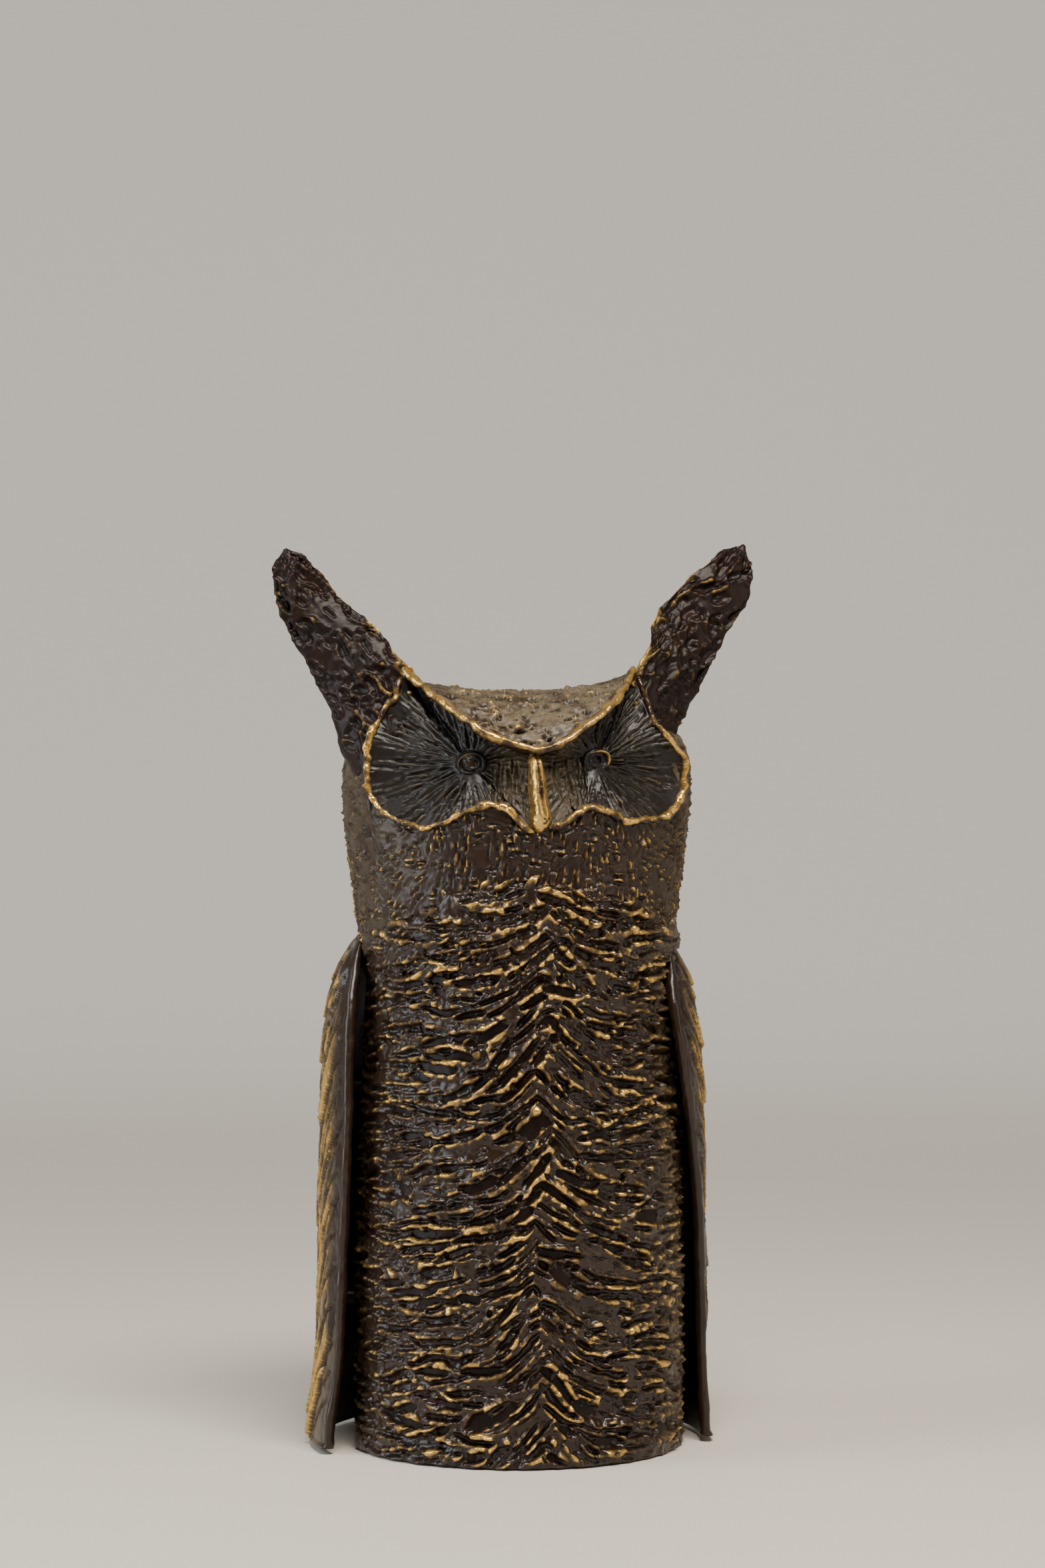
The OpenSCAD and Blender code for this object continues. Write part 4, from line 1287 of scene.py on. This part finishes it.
def tuft_wax(side, s):
    """Short shell-shaped strokes up the face of an ear tuft."""
    wax = Wax((-11, 11.1), (-4, 58), 0.2)
    dice = np.random.default_rng(s.seed + 5 * side)
    for k in range(86):
        u = dice.uniform(-10, 10)
        v = dice.uniform(0, 57)
        reach = dice.uniform(3, 8)
        angle = dice.normal(0.25, 0.3)
        line = [(u, v), (u + reach * 0.5 * math.sin(angle) + 0.4, v - reach * 0.5),
                (u + reach * math.sin(angle), v - reach * math.cos(angle))]
        wax.gouge(line, dice.uniform(0.9, 1.9), dice.uniform(0.5, 1.0), dice.uniform(0.25, 0.6), 17 * k)
    for k in range(120):
        u = dice.uniform(-10, 10)
        v = dice.uniform(0, 57)
        line = [(u, v), (u + dice.normal(0.5, 0.8), v - dice.uniform(1.5, 4.0))]
        wax.gouge(line, dice.uniform(0.5, 0.9), dice.uniform(0.25, 0.55), dice.uniform(0.1, 0.3), 7 * k)
    return wax


def build_tuft(side, s):
    """An ear tuft: a thick leaf, sharp along both edges."""
    rows = 170
    inner = smooth_curve(TUFT_INNER[side], rows)
    outer = smooth_curve(TUFT_OUTER[side], rows)
    t = np.linspace(0, 1, rows)[:, None]
    angle = circle(140)[None, :]
    across = np.cos(angle)
    middle = (inner + outer) / 2
    half = (inner - outer) / 2
    half = half * np.sqrt(held((1.012 - t) / 0.07))
    thick = s.tuft_thickness / MM / 2 * along(t, [(0, 1), (0.3, 0.85), (0.8, 0.6), (1, 0.25)])
    plan = middle[:, None] + half[:, None] * across[..., None]
    depth = -9.5 + 10.5 * (middle[:, 1:] - 152) / 46
    front = np.sin(angle)
    root = 5.0 * (1 - step(middle[:, 1:], 152, 178)) * held(front) ** 0.7
    y = depth - front * thick * (0.55 + 0.45 * np.abs(front)) - root
    # The inner root twists forward to the end of the brow.
    to_brow = held((across + 0.9) / 1.9) ** 1.5 * (1 - step(plan[..., 1], 169, 188))
    y = y + to_brow * (brow_depth(brow_points(side)[-1][0]) + 1.2 - depth)
    bare = np.stack([plan[..., 0], y, plan[..., 1]], -1)
    width = np.linalg.norm(half, axis=-1, keepdims=True)
    wax = tuft_wax(side, s)
    up = np.cumsum(np.linalg.norm(np.diff(middle, axis=0, prepend=middle[:1]), axis=1))[:, None]
    v = np.broadcast_to(up, bare.shape[:2])
    h = wax.at(across * width, v) * 1.3 * (1 - 0.85 * step(t, 0.94, 1.0))
    edge = hump(front, 0.3)
    rubbed = hump(front, 0.5) * np.where(across > 0, 1.0, 0.35)
    h = h * (1 - 0.7 * edge) + 0.25 * edge * noise(v, across * 9, 1.6, 5) + 0.08 * rough(bare, 1.5, 95, 2)
    centre = np.array((middle[rows // 2, 0], float(depth[rows // 2, 0]), middle[rows // 2, 1]))
    p = bare + grid_normals(bare, True, centre) * h[..., None]
    masks = masks_of(h, 4, 0.2, 1.0, True)
    rubbed = rubbed * step(noise(v, across * 3, 4.0, 8), -0.2, 0.5)
    masks["crest"] = held(0.7 * masks["crest"] + 1.1 * rubbed)
    piece = loft_piece(f"ear_tuft_{SIDE_NAME[side]}", p, masks, finish("Tuft patina"))
    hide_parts(f"ear_tuft_{SIDE_NAME[side]}")


class OWL_OT_tufts(bpy.types.Operator):
    """Sculpt the ear tufts"""

    bl_idname = "owl.tufts"
    bl_label = "Ear tufts"

    def execute(self, context):
        for side in (LEFT, RIGHT):
            build_tuft(side, context.scene.owl_limbs)
        return {"FINISHED"}


# ---- Wings, tail and mantle ----

# Outer radius of each wing by height, and the angle of its front edge from straight ahead in degrees.
WING_RADIUS = {
    LEFT: [(0, 46.0), (6, 46.0), (14, 45.0), (37, 44.0), (65, 43.7), (80, 43.2), (93, 42.2), (103, 40.0),
           (109, 37.6), (112.5, 35.4)],
    RIGHT: [(0, 43.8), (16, 43.0), (37, 42.5), (65, 41.8), (80, 41.4), (90, 40.6), (100, 38.7),
            (106, 36.8), (110, 35.0)],
}
WING_FRONT = {
    LEFT: [(0, 77), (14, 75), (44, 73), (65, 71), (80, 71), (100, 76), (112.5, 86)],
    RIGHT: [(0, 80), (37, 78), (55, 73), (70, 65), (86, 59), (100, 59), (110, 68)],
}
# Half width of the opening between the wings at the back, by height.
WING_BACK = [(0, 15), (30, 6), (50, 1.0), (62, 1.0), (85, 4.5), (112.5, 15)]
# Rows of wing feathers: height of their roots, length, half width and how many.
WING_ROWS = [(46, 44, 3.4, 15), (66, 42, 3.2, 15), (82, 36, 3.0, 16), (94, 26, 2.8, 17), (102, 18, 2.5, 18),
             (108, 13, 2.3, 19), (113, 10, 2.1, 20)]


def wing_wax(s, side, reach):
    """Long feathers that sweep down and back, under rows of shorter ones."""
    wax = Wax((-3, reach + 3), (-3, 116), 0.3)
    dice = np.random.default_rng(s.seed + 9 * side)
    lift = s.feather_lift / MM
    laid = []
    for row, (top, span, size, count) in enumerate(WING_ROWS):
        for k in range(count):
            u = (k + 0.5 * (row % 2)) * reach / (count - 1) + dice.normal(0, 0.5)
            laid.append((u, top + dice.normal(0, 1.6) - 0.06 * u, span * dice.uniform(0.85, 1.12), size))
    for k, (u, v, span, size) in enumerate(laid):
        lean = dice.normal(0.56, 0.07) * (0.45 + 0.55 * step(v, 30, 90))
        tip = (u + span * math.sin(lean), v - span * math.cos(lean))
        root = (u - 0.3 * span * math.sin(lean), v + 0.15 * span)
        width = size * dice.uniform(0.85, 1.15)
        wax.feather(root, tip, width, lift * dice.uniform(0.8, 1.3), dice.normal(0.06, 0.05), 19 * k)
    for k, v in enumerate(np.arange(12, 106, 7.5)):
        a = v + dice.normal(0, 1.2)
        line = [(0, a), (4, a - 2.5), (9, a - 9), (14, a - 19), (18, a - 31)]
        wax.gouge(line, dice.uniform(0.5, 0.75), dice.uniform(0.8, 1.2), 0.2, 29 * k)
    return wax


def build_wing(side, s):
    """A wing: a curved shell with a soft lip in front and feathers outside."""
    rows = 230
    z = np.linspace(s.wing_lift / MM, WING_RADIUS[side][-1][0], rows)[:, None]
    radius = along(z, WING_RADIUS[side])
    front = np.radians(along(z, WING_FRONT[side]))
    back = math.pi - np.arcsin(np.clip(along(z, WING_BACK) / radius, 0, 0.9))
    taper = np.sqrt(np.clip((z[-1] - z) / 7, 0.02, 1))
    half = s.wing_thickness / MM / 2 * taper
    outer_n, turn_n, inner_n = 165, 10, 24
    out = np.linspace(0, 1, outer_n)[None, :]
    inner = np.linspace(1, 0, inner_n)[None, :]
    turn = np.linspace(0, np.pi, turn_n + 2)[1:-1][None, :]
    # Round the section: the outside, the turn at the back edge, the inside, and the turn at the front edge.
    share = np.hstack([out, np.ones((1, turn_n)), inner, np.zeros((1, turn_n))])
    push = np.hstack([np.ones((1, outer_n)), np.cos(turn), -np.ones((1, inner_n)), -np.cos(turn)])
    past = np.hstack([np.zeros((1, outer_n)), np.sin(turn), np.zeros((1, inner_n)), -np.sin(turn)])
    middle = radius - half
    phi = front + (back - front) * share + past * half / middle
    r = middle + push * half
    z_full = np.broadcast_to(z, r.shape)
    bare = on_figure(side * phi, r, z_full)
    reach = float(np.max((back - front) * radius))
    wax = wing_wax(s, side, reach)
    u = (phi - front) * radius
    outside = held(push) ** 2
    lip = step(u, 0.2, 2.4)
    h = wax.at(u + 0 * z_full, z_full) * outside * (0.25 + 0.75 * lip)
    h = h - 0.6 * outside + 0.12 * rough(bare, 2.0, 120 + side, 2) + 0.22 * noise3(bare, 7.0, 130)
    ends = step(z_full, z_full.min(), z_full.min() + 1.2) * step(z_full.max() - z_full, 0, 1.5)
    away = np.stack([np.sin(side * phi), -np.cos(side * phi), 0 * phi], -1)
    rearward = np.stack([np.cos(side * phi) * side, np.sin(side * phi) * side, 0 * phi], -1)
    n = unit(away * push[..., None] + rearward * past[..., None])
    p = bare + n * (h * ends)[..., None]
    masks = masks_of(h, 3, 0.1, 0.7, True)
    open_part = outside * step(u + 0.8 * noise(z_full, u, 4.0, 9), 1.0, 4.6)
    masks["crest"] = held((0.2 - 0.9 * masks["hollow"] + 0.9 * masks["crest"]) * open_part)
    masks["residue"] = held(0.3 * open_part - masks["hollow"])
    piece = loft_piece(f"wing_{SIDE_NAME[side]}", p, masks, finish("Wing patina"))
    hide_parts(f"wing_{SIDE_NAME[side]}")


class OWL_OT_wings(bpy.types.Operator):
    """Sculpt the wings"""

    bl_idname = "owl.wings"
    bl_label = "Wings"

    def execute(self, context):
        for side in (LEFT, RIGHT):
            build_wing(side, context.scene.owl_limbs)
        return {"FINISHED"}


def back_panel(name, node, low, high, half_width, body, thickness, wax, material):
    """A feathered panel, set into the owl's back; half_width is a function of height."""
    # Both counts are one more than a multiple of the cells that sheet_piece takes together.
    u = np.linspace(-1, 1, 91)[:, None]
    z = np.linspace(low, high, 121)[None, :]
    arc = u * half_width(z)
    radius = column_radius(z, body) - COLUMN_SINK
    phi = math.pi + arc / radius
    bare = on_figure(phi, radius + thickness, z + 0 * arc)
    edge = step(1 - np.abs(u), 0, 0.1) * step(z, low, low + 1.5) * step(high - z, 0, 1.5)
    h = wax.at(arc, z + 0 * arc) * (0.3 + 0.7 * edge) + 0.1 * rough(bare, 1.8, 140, 2) - 1.0 * (1 - edge)
    normal = grid_normals(bare, False, (0, 0, (low + high) / 2))
    front = bare + normal * h[..., None]
    piece = sheet_piece(name, front, bare - normal * thickness, masks_of(h, 3, 0.1, 0.8), material)
    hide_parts(node)


class OWL_OT_back(bpy.types.Operator):
    """Sculpt the tail and the mantle between the wings"""

    bl_idname = "owl.back"
    bl_label = "Back"

    def execute(self, context):
        s = context.scene.owl_limbs
        body = context.scene.owl_body
        dice = np.random.default_rng(s.seed + 3)
        tail = Wax((-24, 24.1), (-2, 52), 0.25)
        for row, (top, span) in enumerate([(46, 46), (52, 40), (58, 34)]):
            for k in range(9 - row):
                u = (k - (8 - row) / 2) * (4.6 - 0.4 * row)
                tip = (u + dice.normal(0, 0.4), top - span)
                tail.feather((u * 0.55, top), tip, 2.9, 0.9, 0.03, 23 * k + row)
        back_panel("tail", "tail", 0.6, 46, lambda z: 21 - 12 * z / 46, body, s.tail_thickness / MM, tail,
                   finish("Wing patina"))
        mantle = Wax((-24, 24.1), (66, 118), 0.25)
        for top in np.arange(70, 122, 4.2):
            for u in np.arange(-20, 21, 4.4):
                a = u + dice.normal(0, 0.7)
                tip = (a + dice.normal(0, 0.8), top - 9)
                mantle.feather((a, top), tip, 2.6, 0.9, 0.05, int(31 * top + u))
        back_panel("mantle", "mantle", 72, 110.5, lambda z: 2.2 + 17.5 * ((z - 72) / 39) ** 1.1, body, 2.0,
                   mantle, finish("Breast patina"))
        return {"FINISHED"}


class OWL_OT_joining(bpy.types.Operator):
    """Finish the pins, screws, plate and felt"""

    bl_idname = "owl.joining"
    bl_label = "Joining pieces"

    def execute(self, context):
        for name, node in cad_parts.items():
            if not node.hide_render:
                node.data.materials.clear()
                node.data.materials.append(finish("Felt" if name == "felt_pad" else "Filed bronze"))
        return {"FINISHED"}


# ---- Studio ----


def floor_mesh():
    """A round floor that curves up into a wall on all sides, in metres."""
    sides = 96
    level = 0.9
    bend = 1.5
    wall_top = 4.0
    profile = [(level * k / 3, 0.0) for k in (1, 2, 3)]
    for a in np.radians(np.arange(3, 91, 3)):
        profile.append((level + bend * math.sin(a), bend - bend * math.cos(a)))
    profile.append((level + bend, wall_top))
    points = [(0.0, 0.0, 0.0)]
    points += [(r * math.cos(t), r * math.sin(t), z) for r, z in profile for t in circle(sides)]
    faces = [(0, k + 1, (k + 1) % sides + 1) for k in range(sides)]
    for low in range(1, sides * (len(profile) - 1), sides):
        high = low + sides
        for k in range(sides):
            following = (k + 1) % sides
            faces.append((low + k, high + k, high + following, low + following))
    mesh = bpy.data.meshes.new("floor")
    mesh.from_pydata(points, [], faces)
    mesh.shade_smooth()
    mesh.materials.append(backdrop_material())
    return mesh


def soft_light(name, at, target, width, height, power, tint):
    """A rectangular soft light that faces a point."""
    data = bpy.data.lights.new(name, "AREA")
    data.shape = "RECTANGLE"
    data.size = width
    data.size_y = height
    data.energy = power
    data.color = tint
    light = bpy.data.objects.new(name, data)
    light.location = at
    light.rotation_euler = (Vector(target) - Vector(at)).to_track_quat("-Z", "Y").to_euler()
    bpy.context.scene.collection.objects.link(light)


class OWL_OT_studio(bpy.types.Operator):
    """Set the pale floor, the soft lights and the camera"""

    bl_idname = "owl.studio"
    bl_label = "Studio"

    def execute(self, context):
        s = context.scene.owl_stage
        scene = context.scene
        floor = bpy.data.objects.new("floor", floor_mesh())
        scene.collection.objects.link(floor)
        owl = (0, 0, 0.1)
        soft_light("Window", (-0.75, -0.15, 0.35), owl, 0.4, 0.8, s.key, (0.9, 0.95, 1.0))
        soft_light("Overhead", (0.05, -0.42, 0.80), owl, 0.45, 0.3, s.top, (1.0, 0.93, 0.82))
        soft_light("Fill", (0.8, -0.5, 0.35), owl, 0.5, 0.7, 2.0, (1.0, 0.9, 0.78))
        soft_light("Backdrop", (0.0, 0.75, 1.5), (0, 2.2, 0.6), 1.6, 0.5, 9.0, (1.0, 0.97, 0.93))
        world = bpy.data.worlds.new("Studio")
        world.use_nodes = True
        sky = world.node_tree.nodes["Background"]
        sky.inputs["Color"].default_value = HAZE
        sky.inputs["Strength"].default_value = 0.12
        scene.world = world
        camera = bpy.data.cameras.new("Camera")
        camera.lens = 85
        camera.sensor_width = 36
        view = bpy.data.objects.new("Camera", camera)
        toward = Vector((-math.sin(s.azimuth), math.cos(s.azimuth), 0))
        right = Vector((toward.y, -toward.x, 0))
        aside = 0.00133
        view.location = toward * -s.distance + right * aside + Vector((0, 0, s.height))
        view.rotation_euler = toward.to_track_quat("-Z", "Y").to_euler()
        scene.collection.objects.link(view)
        scene.camera = view
        return {"FINISHED"}


class OWL_PT_panel(bpy.types.Panel):
    """The owl's settings and builders"""

    bl_idname = "OWL_PT_panel"
    bl_label = "Bronze Owl"
    bl_space_type = "VIEW_3D"
    bl_region_type = "UI"
    bl_category = "Owl"

    def draw(self, context):
        for group in SETTINGS:
            box = self.layout.box()
            box.label(text=group)
            settings = getattr(context.scene, group)
            for key in settings.__annotations__:
                box.prop(settings, key)
        for operator in OPERATORS:
            self.layout.operator(operator.bl_idname)


SETTINGS = {
    "owl_body": OwlBodySettings,
    "owl_head": OwlHeadSettings,
    "owl_limbs": OwlLimbSettings,
    "owl_finish": OwlFinishSettings,
    "owl_stage": OwlStageSettings,
}
OPERATORS = (OWL_OT_finishes, OWL_OT_breast, OWL_OT_column, OWL_OT_head, OWL_OT_crown, OWL_OT_face,
             OWL_OT_tufts, OWL_OT_wings, OWL_OT_back, OWL_OT_joining, OWL_OT_studio)


def register():
    """Adds the settings, builders and panel."""
    for group in SETTINGS.values():
        bpy.utils.register_class(group)
    for operator in OPERATORS:
        bpy.utils.register_class(operator)
    bpy.utils.register_class(OWL_PT_panel)
    for name, group in SETTINGS.items():
        setattr(bpy.types.Scene, name, PointerProperty(type=group))


def unregister():
    """Removes them again."""
    for name in SETTINGS:
        delattr(bpy.types.Scene, name)
    bpy.utils.unregister_class(OWL_PT_panel)
    for made in reversed(OPERATORS + tuple(SETTINGS.values())):
        bpy.utils.unregister_class(made)


def main():
    """Builds the owl and its studio."""
    register()
    bpy.ops.owl.finishes()
    bpy.ops.owl.breast()
    bpy.ops.owl.column()
    bpy.ops.owl.head()
    bpy.ops.owl.crown()
    bpy.ops.owl.face()
    bpy.ops.owl.tufts()
    bpy.ops.owl.wings()
    bpy.ops.owl.back()
    bpy.ops.owl.joining()
    bpy.ops.owl.studio()


if __name__ == "__main__":
    main()
